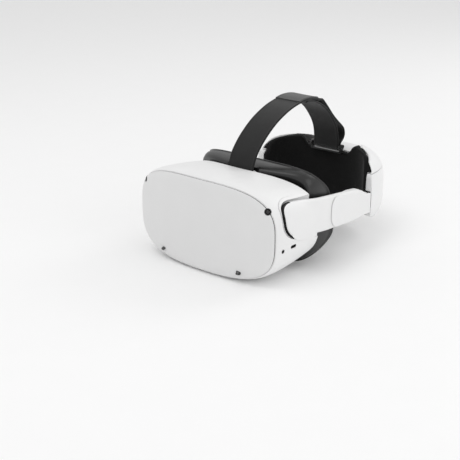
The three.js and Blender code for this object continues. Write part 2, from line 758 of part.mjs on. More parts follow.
// The strap end that clips over the arm: flush at its edges and proud on the outer face.
function addSleeves() {
  const dip = (y) => 6 * smooth(136, 156, y);
  const stations = [80, 100, 118, 136, 146, 156, SLEEVE.endY];
  const wholeRings = stations.map((y) => stationRing(
    y, armOuterX(y) - armThick(y) - SLEEVE.proud, armOuterX(y) + SLEEVE.proud,
    armBottom(y), armTop(y) - dip(y), 3,
  ));
  const middle = (armTop(90) + armBottom(90)) / 2;
  const halfHeight = (armTop(90) - armBottom(90)) / 2 + 1;
  const nose = [];
  for (let i = 0; i <= 8; i += 1) {
    const angle = -Math.PI / 2 - (Math.PI * i) / 8;
    nose.push([
      SLEEVE.frontY + SLEEVE.frontBow * (1 + Math.cos(angle)),
      middle + halfHeight * Math.sin(angle),
    ]);
  }
  const outline = [[SLEEVE.endY, 20], [SLEEVE.frontY + 30, 20], ...nose,
    [SLEEVE.frontY + 30, 95], [SLEEVE.endY, 95]];
  const clearArm = solid(armSolid(GAP));
  const slot = solid(tongueBlade(GAP + 0.2, SLEEVE.endY + 3));
  const body = solid(loft(wholeRings)).intersect(solid(prism('x', outline, 60, 100)));
  addPair('arm_sleeve', cut(body, clearArm, slot), 'whitePlastic');
}

// The thin blade that joins an arm to the cradle. It bends in with the cradle's wall.
function tongueBlade(grow, endY = TONGUE.endY) {
  const rings = [];
  const count = 6;
  for (let i = 0; i <= count; i += 1) {
    const share = i / count;
    const y = lerp(TONGUE.startY - grow, endY, share);
    const bend = TONGUE.bend * Math.max(0, y - CRADLE.frontY) ** 2;
    const x = TONGUE.x + TONGUE.lean * Math.max(0, CRADLE.frontY - y) - bend;
    const half = TONGUE.height / 2 + grow;
    rings.push(stationRing(
      y, x - TONGUE.thick / 2 - grow, x + TONGUE.thick / 2 + grow, TONGUE.z - half, TONGUE.z + half, 0.5,
    ));
  }
  return loft(rings);
}

function addTongues() {
  addPair('strap_tongue', tongueBlade(0), 'blackPlastic');
}

// ---------------------------------------------------------------- rear cradle

// The plan outline shrinks towards the top and a little towards the bottom.
function cradleScale(z) {
  const height = z - CRADLE.centreZ;
  if (height > 0) return Math.sqrt(Math.max(0.05, 1 - (height / 56) ** 4));
  return Math.sqrt(1 - (height / 46) ** 4);
}

function cradleDome(inset, zFrom, zTo) {
  const rings = [];
  const levels = 5;
  for (let i = 0; i <= levels; i += 1) {
    const z = lerp(zFrom, zTo, i / levels);
    const scale = cradleScale(z);
    const outline = superOutline(
      CRADLE.halfWidth * scale - inset, CRADLE.reach * scale - inset, CRADLE.exponent, 28,
    );
    rings.push(outline.map(([x, y]) => [x, y + CRADLE.centreY, z]));
  }
  return loft(rings);
}

function padPrism(offset, zFrom, zTo) {
  const outline = superOutline(
    CRADLE.padHalfWidth + offset, CRADLE.padReach + offset, CRADLE.exponent, 28,
  );
  return prism('z', outline.map(([x, y]) => [x, y + CRADLE.centreY]), zFrom, zTo);
}

// The cradle seen from the side: a straight front, then a top edge that rises to its corners.
// back moves the front edge, and drop lowers the top.
function cradleSide(back, drop) {
  return [
    [CRADLE.frontY + back, CRADLE.bottomZ - 4], [CRADLE.frontY + back, 74],
    [173 + back, 80], [175 + back, 89.5 - drop], [198, 98.5 - drop], [262, 98.5 - drop],
    [262, CRADLE.bottomZ - 4],
  ];
}

// The dip in the middle of the top edge, where the strap's buckle stands.
function cradleNotch(drop) {
  const floor = 89 - drop;
  return prism('y', [
    [-41, 99], [-28, floor], [28, floor], [41, 99], [41, 120], [-41, 120],
  ], 150, 262);
}

const PARTING_Z = 78; // where the upper and lower cradle shells meet

function addCradle() {
  const top = 99;
  const side = solid(prism('x', cradleSide(0, 0), -95, 95));
  const wholeDome = solid(cradleDome(0, CRADLE.bottomZ, top));
  const whole = cut(wholeDome.intersect(side), solid(padPrism(0, 10, 110)), solid(cradleNotch(0)));
  const insideSide = solid(prism('x', cradleSide(CRADLE.wall, CRADLE.wall), -95, 95));
  const insideDome = solid(cradleDome(CRADLE.wall, CRADLE.bottomZ + CRADLE.wall, top - CRADLE.wall));
  const inside = cut(insideDome.intersect(insideSide), solid(cradleNotch(CRADLE.wall)));
  const mouth = solid(boxAt([73.4, 160, TONGUE.z - 9], [80.4, 175, TONGUE.z + 9]));
  const bay = solid(cylinder('y', 234.5, 262, [0, FIT.axisZ], FIT.knobR + 0.8, 24));
  const bayFloor = solid(cylinder('y', 232.5, 262, [0, FIT.axisZ], FIT.knobR + 2.6, 24))
    .intersect(wholeDome);
  const shaftHole = solid(cylinder('y', 225, 262, [0, FIT.axisZ], 3 + GAP));
  const skin = cut(
    join(cut(whole, inside), bayFloor), bay, shaftHole, mouth, mirrorX(mouth),
  );
  const upperHalf = solid(boxAt([-100, 140, PARTING_Z + 0.2], [100, 270, 130]));
  const lowerHalf = solid(boxAt([-100, 140, 0], [100, 270, PARTING_Z - 0.2]));
  addPiece('cradle_lower_shell', skin.intersect(lowerHalf), 'whitePlastic');
  addPiece('cradle_upper_shell', skin.intersect(upperHalf), 'whitePlastic');

  const frameBlock = solid(padPrism(2, CRADLE.bottomZ + 3, 84));
  const frameHollow = solid(padPrism(0.3, 10, 110));
  const behind = solid(boxAt([-90, 190, 10], [90, 262, 110]));
  const frame = cut(frameBlock, frameHollow).intersect(behind).intersect(
    solid(cradleDome(CRADLE.wall + 0.4, CRADLE.bottomZ + 2.6, 96)),
  );
  addPiece('cradle_inner_frame', frame, 'blackPlastic');

  const padBlock = solid(padPrism(-0.4, CRADLE.bottomZ + 1, 97));
  const padHollow = solid(padPrism(-5.5, 10, 110));
  const padSide = solid(prism('x', cradleSide(0.6, 1), -95, 95));
  const pad = cut(padBlock, padHollow, solid(cradleNotch(0.6))).intersect(padSide);
  addPiece('cradle_pad', pad, 'foam');
}

// ---------------------------------------------------------------- fit wheel and racks

const TOOTH_PITCH = (2 * Math.PI * FIT.pitchR) / FIT.teeth;

function pinionOutline() {
  const points = [];
  const root = FIT.pitchR - 0.95;
  const tip = FIT.pitchR + 0.55;
  for (let k = 0; k < FIT.teeth; k += 1) {
    const middle = (2 * Math.PI * k) / FIT.teeth;
    for (const [radius, half] of [[root, 0.19], [tip, 0.07]]) {
      points.push([radius, middle - half]);
    }
    for (const [radius, half] of [[tip, 0.07], [root, 0.19]]) {
      points.push([radius, middle + half]);
    }
  }
  return points.map(([r, angle]) => [r * Math.cos(angle), FIT.axisZ + r * Math.sin(angle)]);
}

function addFitWheel() {
  const axis = [0, FIT.axisZ];
  const scallops = [];
  for (let k = 0; k < 36; k += 1) {
    const angle = (2 * Math.PI * k) / 36;
    const radius = FIT.knobR - (k % 2 === 0 ? 1.1 : 0);
    scallops.push([radius * Math.cos(angle), FIT.axisZ + radius * Math.sin(angle)]);
  }
  const knob = solid(prism('y', scallops, 235, 247));
  const dish = solid(cylinder('y', 245, 250, axis, FIT.knobR - 4, 20));
  const gearEnd = FIT.gearY + FIT.gearThick;
  const shaft = solid(cylinder('y', gearEnd - 0.5, 236, axis, 3));
  const hub = solid(cylinder('y', 219.8, FIT.gearY + 0.5, axis, 3));
  const gear = solid(prism('y', pinionOutline(), FIT.gearY, gearEnd));
  const bore = solid(cylinder('y', 210, 231, axis, 1.5, 12));
  addPiece('fit_wheel', cut(join(cut(knob, dish), shaft, gear, hub), bore), 'blackPlastic');
  const screw = turned('y', [
    [0, 217.4], [4, 217.4], [4, 219.5], [1.2, 219.5], [1.2, 230], [0, 230],
  ], axis, 16);
  addPiece('fit_wheel_screw', screw, 'steel');
}

// A rack along X, with teeth towards the pinion. side is +1 above it and -1 below.
function rackSolid(side, fromX, toX) {
  const base = FIT.axisZ + side * (FIT.pitchR + 0.95);
  const back = FIT.axisZ + side * (FIT.pitchR + 4.2);
  const tip = FIT.axisZ + side * (FIT.pitchR - 0.55);
  const outline = [[fromX, back], [fromX, base]];
  const first = Math.ceil((fromX + 1.2) / TOOTH_PITCH - 0.5);
  for (let k = first; (k + 0.5) * TOOTH_PITCH < toX - 1.2; k += 1) {
    const x = (k + 0.5) * TOOTH_PITCH;
    outline.push([x - 0.85, base], [x - 0.3, tip], [x + 0.3, tip], [x + 0.85, base]);
  }
  outline.push([toX, base], [toX, back]);
  if (side < 0) outline.reverse();
  return prism('y', outline, FIT.gearY + 0.1, FIT.gearY + FIT.gearThick - 0.1);
}

function addRacks() {
  addPiece('left_rack', rackSolid(1, -23, 8), 'blackPlastic');
  addPiece('right_rack', rackSolid(-1, -8, 23), 'blackPlastic');
  const low = FIT.axisZ - 12.5;
  const high = FIT.axisZ + 12.5;
  const plate = solid(boxAt([-30, 221, low], [30, 223.6, high]));
  const rails = [[low, low + 2.7], [high - 2.7, high]].map(([from, to]) => {
    return solid(boxAt([-30, 223, from], [30, 227.5, to]));
  });
  const hole = solid(cylinder('y', 215, 230, [0, FIT.axisZ], 3 + GAP));
  addPiece('gear_case', cut(join(plate, ...rails), hole), 'blackPlastic');
}

// ---------------------------------------------------------------- top strap

// A band of even thickness along a path in Y and Z, as wide as the strap.
function strapBand(path, width = STRAP.width, thick = STRAP.thick) {
  const curve = new THREE.CatmullRomCurve3(path.map(([y, z]) => new THREE.Vector3(y, z, 0)));
  const count = 16;
  const outer = [];
  const inner = [];
  for (let i = 0; i <= count; i += 1) {
    const p = curve.getPoint(i / count);
    const tangent = curve.getTangent(i / count);
    const normal = [-tangent.y * (thick / 2), tangent.x * (thick / 2)];
    outer.push([p.x + normal[0], p.y + normal[1]]);
    inner.push([p.x - normal[0], p.y - normal[1]]);
  }
  return prism('x', [...outer, ...inner.reverse()], -width / 2, width / 2);
}

function addStraps() {
  const front = [
    [40.6, 86], [41, 96], [43, 110], [57, 127], [78, 142.6], [100, 152.4], [118, 157], [134, 159.4],
    [152, 157.5], [162, 154.5],
  ];
  addPiece('front_top_strap', strapBand(front), 'fabric');
  const rear = [
    [134, 155.6], [148, 152.8], [159, 148], [172, 139], [183, 126.4], [189.6, 115], [192, 104],
    [191.2, 96.5],
  ];
  addPiece('rear_top_strap', strapBand(rear), 'fabric');
  const loop = solid(boxAt([-22, 186.6, 88], [22, 195.4, 96]));
  const eye = solid(boxAt([-18.6, 180, 90.4], [18.6, 200, 93.6]));
  const window = solid(boxAt([-18.6, 189.4, 92], [18.6, 192.6, 100]));
  const foot = solid(boxAt([-22, 189, 86.2], [22, 193, 88.5]));
  addPiece('strap_buckle', join(cut(loop, eye, window), foot), 'blackPlastic');
}

addVisorCase();
addCameras();
addPorts();
addButtons();
addElectronics();
addFan();
addLenses();
addRearBezel();
addFacialInterface();
addArms();
addSleeves();
addTongues();
addCradle();
addFitWheel();
addRacks();
addStraps();

export default group;
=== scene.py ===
import math

import bpy
import numpy as np
from mathutils import Matrix, Vector


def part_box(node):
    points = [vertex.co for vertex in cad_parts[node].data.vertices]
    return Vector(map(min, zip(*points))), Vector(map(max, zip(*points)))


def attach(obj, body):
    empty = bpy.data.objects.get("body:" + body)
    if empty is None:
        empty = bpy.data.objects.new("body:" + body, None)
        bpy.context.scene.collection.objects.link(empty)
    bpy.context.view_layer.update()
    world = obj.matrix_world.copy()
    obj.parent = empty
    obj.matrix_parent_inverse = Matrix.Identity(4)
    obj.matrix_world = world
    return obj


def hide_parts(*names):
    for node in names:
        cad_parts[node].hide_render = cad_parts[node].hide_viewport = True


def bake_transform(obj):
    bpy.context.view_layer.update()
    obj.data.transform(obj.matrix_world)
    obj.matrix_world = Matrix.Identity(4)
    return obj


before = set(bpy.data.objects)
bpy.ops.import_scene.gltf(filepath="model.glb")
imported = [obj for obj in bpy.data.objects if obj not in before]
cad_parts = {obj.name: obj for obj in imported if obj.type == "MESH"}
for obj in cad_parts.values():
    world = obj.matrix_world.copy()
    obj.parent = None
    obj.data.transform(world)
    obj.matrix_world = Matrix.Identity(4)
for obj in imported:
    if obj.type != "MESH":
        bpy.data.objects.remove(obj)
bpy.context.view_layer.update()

# Lengths are in millimetres, in the row frame: +X is the wearer's left, -Y is forward, +Z is up.
MM = 0.001


def node_box(name):
    """A CAD node's lower and upper corners, in millimetres."""
    low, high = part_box(name)
    return np.array(low) / MM, np.array(high) / MM


# ---------------------------------------------------------------- driving dimensions

GAP = 0.3
# Tools that cut out through the back end here.
BEHIND = 262

SHELL_HIGH = node_box("visor_shell")[1]
VISOR = {
    "centre_z": 51.0,
    "depth": 72.0,
    "seam_y": -12.0,
    "half_width": SHELL_HIGH[0] - 2.8,
    "half_height": 48.7,
    "seam_exponent": 3.19,
    "seam_sag": 10.6,
    "rim_exponent": 2.94,
    "rim_sag": 22.7,
    "rounding": 14.0,
    "swell_x": 2.8,
    "swell_z": 2.9,
    "taper_x": 5.0,
    "taper_z": 4.0,
    "crown": 1.1,
    "wall": 2.2,
}
COVER = {"edge": 9.0, "rise": 2.2, "wall": 2.0, "seam": 1.0}
ARM = {
    "pivot": (16.0, 66.5),
    "front_y": 1.0,
    "step_y": 100.0,
    "end_y": 116.0,
    "outer_x": 94.0,
    "proud": 0.8,
    "narrowing": 13.0,
    "wall": 1.6,
    "plug_inset": 2.2,
    "edge": 2.6,
    "corner": 2.6,
    "thick": 10.0,
    "thin": 6.2,
    "top_z": 84.5,
    "top_slope": 0.132,
    "top_nose": {"drop": 10.0, "length": 16.0},
    "bottom_z": 47.5,
    "bottom_slope": 0.085,
    "bottom_nose": {"drop": 20.0, "length": 26.0},
    "belly": 3.4,
    "pin_radius": 3.0,
}
LEAVES_VISOR = (36, 62)
POCKET = {"floor_x": 80.0, "front": 2.2, "top": 1.3, "bottom": 0.8, "opening": 0.05, "wall": 1.6}
SLEEVE = {"front_y": 85.0, "bow": 12.0, "end_y": 167.0, "proud": 1.3}
TONGUE = {"start_y": 122.0, "end_y": 203.0, "x": 78.4, "z": 49.6, "height": 16.0, "thick": 1.6}
CRADLE = {
    "centre_y": 153.0,
    "front_y": 168.0,
    "centre_z": 51.0,
    "half_width": 83.0,
    "reach": 90.0,
    "exponent": 2.4,
    "bottom_z": 24.0,
    "top_z": 99,
    "wall": 2.2,
    "pad_half_width": 76.0,
    "pad_reach": 50.0,
    "parting_z": 78.0,
}
LIP = {"thick": 2.0, "back": 5.5, "edge": 1.3, "from_z": 79.0}
KNOB_HIGH = node_box("fit_wheel")[1]
FIT = {
    "axis_z": 53.0,
    "pitch_r": 5.0,
    "teeth": 12,
    "knob_r": 20.0,
    "gear_y": 224.0,
    "gear_width": 3.0,
    "knob_y": 235.0,
    "scallops": 36,
}
MOUTH = {"x": (73.4, 80.4), "y": (160, 175), "half_height": 9}
BAY = {"floor_y": 234.5, "floor": 2.0, "rim": 2.6, "clearance": 0.8}
LENS = {"centre_x": 31.5, "radius": 22.1, "y": 33.5, "bulge": 3.4, "half_rim": 1.6, "rail_z": 30}
BEZEL = {"half_width": 78, "half_height": 41.5, "exponent": 4, "y": (30, 32.5)}
BEZEL_LUG = {"x": (66, 69.7), "y": (4, 30.5), "half_height": 4}
BEZEL_SCREW = {"x": 62, "z": (80, 22), "hole_r": 1.5}
FACE = {
    "half_width": 79.5,
    "upper": {"half_height": 52.5, "exponent": 6.5, "rear_y": 75.5, "temple_y": 101.0},
    "lower": {"half_height": 49.5, "exponent": 6.5, "rear_y": 64.5, "temple_y": 109.0},
    "pad_depth": 7.0,
    "rim_gap": 7.0,
    "skirt": 10.0,
}
STRAP = {"width": 35.0, "thick": 1.8}
CAMERAS = {
    "upper": {"at": (85, -16, 82), "aim": (0.55, -0.75, 0.35), "radius": 3.3, "sink": 1.1, "flat": 1.0},
    "lower": {"at": (54, -24.4, 10.4), "aim": (0.35, -0.8, -0.5), "radius": 2.6, "sink": 0.9, "flat": 0.5},
}
USB = {"y": 12.9, "z": 40.9, "length": 8.4, "width": 2.8}
AUDIO = {"y": -3.6, "z": 39.8, "length": 3.6, "width": 3.6}
POWER = {"y": 6.0, "z": 36.0, "length": 11.0, "width": 4.4, "face_x": -95.9}
LIGHT = {"y": 19.0, "z": 36.0, "radius": 1.0}
VOLUME = {"x": -41.0, "y": 2.0, "length": 20.0, "width": 5.0}

# ---------------------------------------------------------------- small maths


def lerp(a, b, t):
    """A share t of the way from a to b."""
    return a + (b - a) * t


def clamp01(t):
    return np.clip(t, 0.0, 1.0)


def smooth(start, end, value):
    """0 before start and 1 past end, with an even S-shaped rise between them."""
    t = clamp01((np.asarray(value, float) - start) / (end - start))
    return t * t * (3 - 2 * t)


def quarter(t):
    """A quarter circle's drop from 1 at t 0 to 0 at t 1 and beyond."""
    return 1 - np.sqrt(1 - (1 - clamp01(t)) ** 2)


def run_lengths(points):
    """Each point's distance along the line from the first point."""
    steps = np.linalg.norm(np.diff(points, axis=0), axis=1)
    return np.concatenate([[0], np.cumsum(steps)])


def resampled(points, lengths, target):
    return np.column_stack([np.interp(target, lengths, points[:, k]) for k in (0, 1)])


def super_outline(half_a, half_b, exponent, count):
    """Points of a superellipse, evenly spaced along its outline."""
    angle = np.linspace(0, 2 * math.pi, 24 * count + 1)
    c, s = np.cos(angle), np.sin(angle)
    power = 2 / exponent
    dense = np.column_stack([
        half_a * np.sign(c) * np.abs(c) ** power, half_b * np.sign(s) * np.abs(s) ** power,
    ])
    lengths = run_lengths(dense)
    return resampled(dense, lengths, lengths[-1] * np.arange(count) / count)


def spline(points, count):
    """A smooth curve through 2-D points, resampled to an even spacing."""
    points = np.array(points, float)
    padded = np.vstack([2 * points[0] - points[1], points, 2 * points[-1] - points[-2]])
    out = []
    for k in range(1, len(padded) - 2):
        p0, p1, p2, p3 = padded[k - 1 : k + 3]
        t = np.linspace(0, 1, 40, endpoint=False)[:, None]
        square, cube = 2 * p0 - 5 * p1 + 4 * p2 - p3, 3 * p1 - p0 - 3 * p2 + p3
        out.append(0.5 * (2 * p1 + (p2 - p0) * t + square * t**2 + cube * t**3))
    dense = np.vstack(out + [points[-1:]])
    lengths = run_lengths(dense)
    return resampled(dense, lengths, np.linspace(0, lengths[-1], count))


def pill(centre_u, centre_v, length, width, arc=12):
    """An outline with straight sides and round ends."""
    radius = width / 2
    reach = max(0.001, length / 2 - radius)
    points = []
    for side in (1, -1):
        for angle in np.linspace(-math.pi / 2, math.pi / 2, arc + 1):
            u = centre_u + side * (reach + radius * math.cos(angle))
            points.append((u, centre_v + side * radius * math.sin(angle)))
    return np.array(points)


# ---------------------------------------------------------------- meshes


def signed_volume(points, faces):
    total = 0.0
    for face in faces:
        p = points[face[0]]
        for k in range(1, len(face) - 1):
            total += float(np.dot(p, np.cross(points[face[k]], points[face[k + 1]])))
    return total


def make_object(name, points, faces):
    points = np.asarray(points, float)
    mesh = bpy.data.meshes.new(name)
    mesh.from_pydata((points * MM).tolist(), [], [list(map(int, f)) for f in faces])
    mesh.update()
    if signed_volume(points, faces) < 0:
        mesh.flip_normals()
    obj = bpy.data.objects.new(name, mesh)
    bpy.context.scene.collection.objects.link(obj)
    return obj


def loft(name, rings, closed=False):
    """A solid skinned over rings of equal length, in order. Its ends are fans, or join up if closed."""
    rings = np.asarray(rings, float)
    rows, count = rings.shape[:2]
    points = rings.reshape(-1, 3)
    faces = []
    for row in range(rows if closed else rows - 1):
        a = row * count
        b = ((row + 1) % rows) * count
        for i in range(count):
            j = (i + 1) % count
            faces.append((a + i, a + j, b + j, b + i))
    if not closed:
        middles = [rings[0].mean(0), rings[-1].mean(0)]
        points = np.vstack([points, middles])
        last = (rows - 1) * count
        for i in range(count):
            j = (i + 1) % count
            faces.append((j, i, rows * count))
            faces.append((last + i, last + j, rows * count + 1))
    return make_object(name, points, faces)


def prism(name, axis, outline, start, end):
    """An outline swept along an axis. Its two coordinates are (Y, Z), (X, Z) or (X, Y)."""
    outline = np.asarray(outline, float)
    rings = []
    for level in (start, end):
        column = np.full(len(outline), float(level))
        order = {
            "x": (column, outline[:, 0], outline[:, 1]),
            "y": (outline[:, 0], column, outline[:, 1]),
            "z": (outline[:, 0], outline[:, 1], column),
        }[axis]
        rings.append(np.stack(order, axis=1))
    points = np.vstack(rings)
    count = len(outline)
    faces = [(i, (i + 1) % count, count + (i + 1) % count, count + i) for i in range(count)]
    faces.append(tuple(reversed(range(count))))
    faces.append(tuple(range(count, 2 * count)))
    return make_object(name, points, faces)


def turned(name, axis, profile, centre, segments=64):
    """A profile of [radius, height] pairs, from the axis to the axis, turned about an axis."""
    angles = np.arange(segments) * (2 * math.pi / segments)
    c, s = np.cos(angles), np.sin(angles)
    points, faces = [], []
    starts = []
    for r, h in profile:
        starts.append(len(points))
        ring = [(0.0, 0.0)] if r < 1e-6 else [(r * a, r * b) for a, b in zip(c, s)]
        for u, v in ring:
            at = (h, centre[0] + u, centre[1] + v) if axis == "x" else (centre[0] + u, h, centre[1] + v)
            points.append(at)
    sizes = [1 if r < 1e-6 else segments for r, _ in profile]
    for k in range(len(profile) - 1):
        a, b, na, nb = starts[k], starts[k + 1], sizes[k], sizes[k + 1]
        for i in range(segments):
            j = (i + 1) % segments
            if na == 1 and nb == 1:
                continue
            if na == 1:
                faces.append((a, b + j, b + i))
            elif nb == 1:
                faces.append((a + i, a + j, b))
            else:
                faces.append((a + i, a + j, b + j, b + i))
    return make_object(name, points, faces)


def cylinder(name, axis, start, end, centre, radius, segments=64):
    return turned(name, axis, [(0, start), (radius, start), (radius, end), (0, end)], centre, segments)


def box_at(name, low, high):
    outline = [(low[0], low[2]), (high[0], low[2]), (high[0], high[2]), (low[0], high[2])]
    return prism(name, "y", outline, low[1], high[1])


def bake(obj):
    """Replaces an object's mesh by what its modifiers make of it."""
    bpy.context.view_layer.update()
    graph = bpy.context.evaluated_depsgraph_get()
    mesh = bpy.data.meshes.new_from_object(obj.evaluated_get(graph))
    obj.modifiers.clear()
    obj.data = mesh
    return obj


def combine(obj, operation, *tools):
    for tool in tools:
        modifier = obj.modifiers.new("combine", "BOOLEAN")
        modifier.operation = operation
        modifier.solver = "MANIFOLD"
        modifier.object = tool
    bake(obj)
    return obj


def discard(*objs):
    for obj in objs:
        bpy.data.objects.remove(obj)


def cut(obj, *tools):
    combine(obj, "DIFFERENCE", *tools)
    discard(*tools)
    return obj


def join(obj, *others):
    combine(obj, "UNION", *others)
    discard(*others)
    return obj


def keep(obj, tool):
    combine(obj, "INTERSECT", tool)
    discard(tool)
    return obj


def copied(obj, name):
    twin = obj.copy()
    twin.data = obj.data.copy()
    twin.name = name
    bpy.context.scene.collection.objects.link(twin)
    return twin


def mirrored(obj, name):
    twin = copied(obj, name)
    twin.data.transform(Matrix.Scale(-1, 4, (1, 0, 0)))
    twin.data.flip_normals()
    return twin


def soften(obj, voxel, rounds):
    """Rounds every edge: an even remesh, then a light smoothing."""
    remesh = obj.modifiers.new("even", "REMESH")
    remesh.mode = "VOXEL"
    remesh.voxel_size = voxel * MM
    relax = obj.modifiers.new("relax", "SMOOTH")
    relax.factor = 0.5
    relax.iterations = rounds
    return bake(obj)


def shade(obj, angle=35):
    """Smooth shading, but sharp where faces meet at more than an angle."""
    obj.data.shade_smooth()
    obj.data.set_sharp_from_angle(angle=math.radians(angle))


# ---------------------------------------------------------------- materials


class Nodes:
    """A material's node tree, with short ways to add and link nodes."""

    def __init__(self, name):
        self.material = bpy.data.materials.new(name)
        self.material.use_nodes = True
        self.tree = self.material.node_tree
        self.shader = self.tree.nodes["Principled BSDF"]

    def add(self, kind, **settings):
        node = self.tree.nodes.new("ShaderNode" + kind)
        for key, value in settings.items():
            if key in node.inputs:
                node.inputs[key].default_value = value
            else:
                setattr(node, key, value)
        return node

    def link(self, source, target):
        self.tree.links.new(source, target)

    def set(self, **settings):
        for key, value in settings.items():
            self.shader.inputs[key.replace("_", " ")].default_value = value

    def place(self):
        return self.add("TexCoord").outputs["Object"]

    def noise(self, scale, detail=3.0, roughness=0.5, vector=None):
        node = self.add("TexNoise", Scale=scale, Detail=detail, Roughness=roughness)
        self.link(vector or self.place(), node.inputs["Vector"])
        return node.outputs["Fac"]

    def ramp(self, value, low, high, start=0.0, end=1.0):
        """Maps a value from start..end to low..high."""
        node = self.add("MapRange")
        node.inputs["From Min"].default_value = start
        node.inputs["From Max"].default_value = end
        node.inputs["To Min"].default_value = low
        node.inputs["To Max"].default_value = high
        self.link(value, node.inputs["Value"])
        return node.outputs["Result"]

    def mix_colour(self, factor, first, second):
        node = self.add("Mix", data_type="RGBA")
        node.inputs[6].default_value = (*first, 1)
        node.inputs[7].default_value = (*second, 1)
        self.link(factor, node.inputs[0])
        return node.outputs[2]

    def maths(self, operation, first, second=None):
        node = self.add("Math", operation=operation)
        for slot, value in enumerate((first, second)):
            if value is None:
                continue
            if isinstance(value, (int, float)):
                node.inputs[slot].default_value = value
            else:
                self.link(value, node.inputs[slot])
        return node.outputs[0]

    def bump(self, height, distance, strength=1.0):
        node = self.add("Bump", Strength=strength, Distance=distance * MM)
        self.link(height, node.inputs["Height"])
        self.link(node.outputs["Normal"], self.shader.inputs["Normal"])

    def colour(self, value):
        self.link(value, self.shader.inputs["Base Color"])

    def roughness(self, value):
        self.link(value, self.shader.inputs["Roughness"])


def grey(value, tint=0.0):
    """A display grey from 0 to 255 as a linear colour, a little warmer or cooler."""
    linear = (value / 255) ** 2.2
    return (linear * (1 + tint), linear, linear * (1 - tint))


def moulded(name, light, dark, rough, grain=0.02, coat=0.0, scale=1400):
    """Moulded plastic: a fine spark-eroded grain, faint shade and gloss changes."""
    m = Nodes(name)
    m.colour(m.mix_colour(m.noise(28, 4), grey(dark), grey(light)))
    patchy = m.maths("ADD", m.noise(60, 5), m.maths("MULTIPLY", m.noise(900, 2), 0.35))
    m.roughness(m.ramp(patchy, rough - 0.06, rough + 0.08, 0.3, 1.0))
    m.bump(m.noise(scale, 2, 0.6), grain)
    m.set(Specular_IOR_Level=0.45, Coat_Weight=coat, Coat_Roughness=0.25)
    return m.material


def metal(name, value, rough, brushed):
    """Bare metal with streaks from brushing, which stretch as brushed rises from 0 to 1."""
    m = Nodes(name)
    stretch = m.add("Mapping", Scale=(1.0, 1.0 + brushed * 30, 1.0))
    m.link(m.place(), stretch.inputs["Vector"])
    streaks = m.noise(700, 3, 0.6, stretch.outputs["Vector"])
    m.colour(m.mix_colour(streaks, grey(value - 22), grey(value)))
    m.roughness(m.ramp(streaks, rough - 0.08, rough + 0.12))
    m.bump(streaks, 0.01)
    m.set(Metallic=1.0)
    return m.material


def woven(name, light, dark):
    """Flat webbing: ribs across and along the band, from its own length and width coordinates."""
    m = Nodes(name)
    lay = m.add("Attribute", attribute_name="lay")
    split = m.add("SeparateXYZ")
    m.link(lay.outputs["Vector"], split.inputs["Vector"])
    along, across = split.outputs["X"], split.outputs["Y"]
    warp = m.maths("SINE", m.maths("MULTIPLY", across, 2 * math.pi / 1.1))
    weft = m.maths("SINE", m.maths("MULTIPLY", along, 2 * math.pi / 0.9))
    weave = m.ramp(m.maths("MULTIPLY", warp, weft), 0, 1, -1, 1)
    fuzz = m.noise(2600, 4, 0.7)
    thread = m.maths("ADD", m.maths("MULTIPLY", weave, 0.7), m.maths("MULTIPLY", fuzz, 0.5))
    broad = m.noise(70, 4)
    shade_mix = m.maths("ADD", m.maths("MULTIPLY", thread, 0.55), m.maths("MULTIPLY", broad, 0.4))
    m.colour(m.mix_colour(shade_mix, grey(dark), grey(light)))
    m.roughness(m.ramp(fuzz, 0.78, 0.98))
    m.bump(thread, 0.12)
    m.set(Sheen_Weight=0.25, Sheen_Roughness=0.5, Specular_IOR_Level=0.2)
    return m.material


def foamed(name, light, dark):
    """Foam or a soft knit over it: small pores, very matte."""
    m = Nodes(name)
    cells = m.add("TexVoronoi", Scale=900)
    m.link(m.place(), cells.inputs["Vector"])
    pores = cells.outputs["Distance"]
    broad = m.noise(45, 4)
    m.colour(m.mix_colour(broad, grey(dark), grey(light)))
    m.roughness(m.ramp(pores, 0.82, 0.98))
    height = m.maths("ADD", pores, m.maths("MULTIPLY", broad, 0.8))
    m.bump(height, 0.12)
    m.set(Sheen_Weight=0.08, Specular_IOR_Level=0.2)
    return m.material


def glassy(name, value, transmission=0.0, tint=0.0):
    """Glass or a glossy dark window, with faint smears in its gloss."""
    m = Nodes(name)
    smear = m.noise(120, 5, 0.6)
    m.colour(m.mix_colour(smear, grey(value, tint), grey(value + 6, tint)))
    m.roughness(m.ramp(smear, 0.03, 0.12))
    m.bump(m.noise(90, 2), 0.01, 0.3)
    m.set(Transmission_Weight=transmission, IOR=1.5, Coat_Weight=0.6)
    return m.material


def circuit(name):
    """Solder mask over copper tracks, with a scatter of pads."""
    m = Nodes(name)
    brick = m.add("TexBrick", Scale=160.0)
    m.link(m.place(), brick.inputs["Vector"])
    tracks = m.ramp(brick.outputs["Fac"], 0, 1)
    m.colour(m.mix_colour(tracks, (0.012, 0.07, 0.03), (0.04, 0.16, 0.07)))
    m.roughness(m.ramp(m.noise(300), 0.35, 0.6))
    m.bump(tracks, 0.05)
    return m.material


MATERIALS = {
    "white_plastic": moulded("white_plastic", 236, 231, 0.42, 0.012),
    "cover_white": moulded("cover_white", 226, 221, 0.48, 0.015),
    "satin_black": moulded("satin_black", 42, 30, 0.3, 0.03, coat=0.15, scale=700),
    "black_plastic": moulded("black_plastic", 34, 26, 0.5, 0.03),
    "camera_glass": glassy("camera_glass", 6),
    "steel": metal("steel", 188, 0.32, 1.0),
    "circuit_board": circuit("circuit_board"),
    "battery_wrap": moulded("battery_wrap", 52, 44, 0.55, 0.02),
    "aluminium": metal("aluminium", 196, 0.38, 0.6),
    "display_glass": glassy("display_glass", 8, 0.0, -0.05),
    "clear_lens": glassy("clear_lens", 240, 0.92),
    "foam": foamed("foam", 26, 14),
    # Dark rubber for the nose flap; the same dark colour paints shade on the seam ring, the arm-nose strips
    # and the sleeve-end plates.
    "rubber": moulded("rubber", 34, 26, 0.72, 0.05, scale=500),
    "strap_fabric": woven("strap_fabric", 42, 24),
    "strap_tab": woven("strap_tab", 84, 62),
}


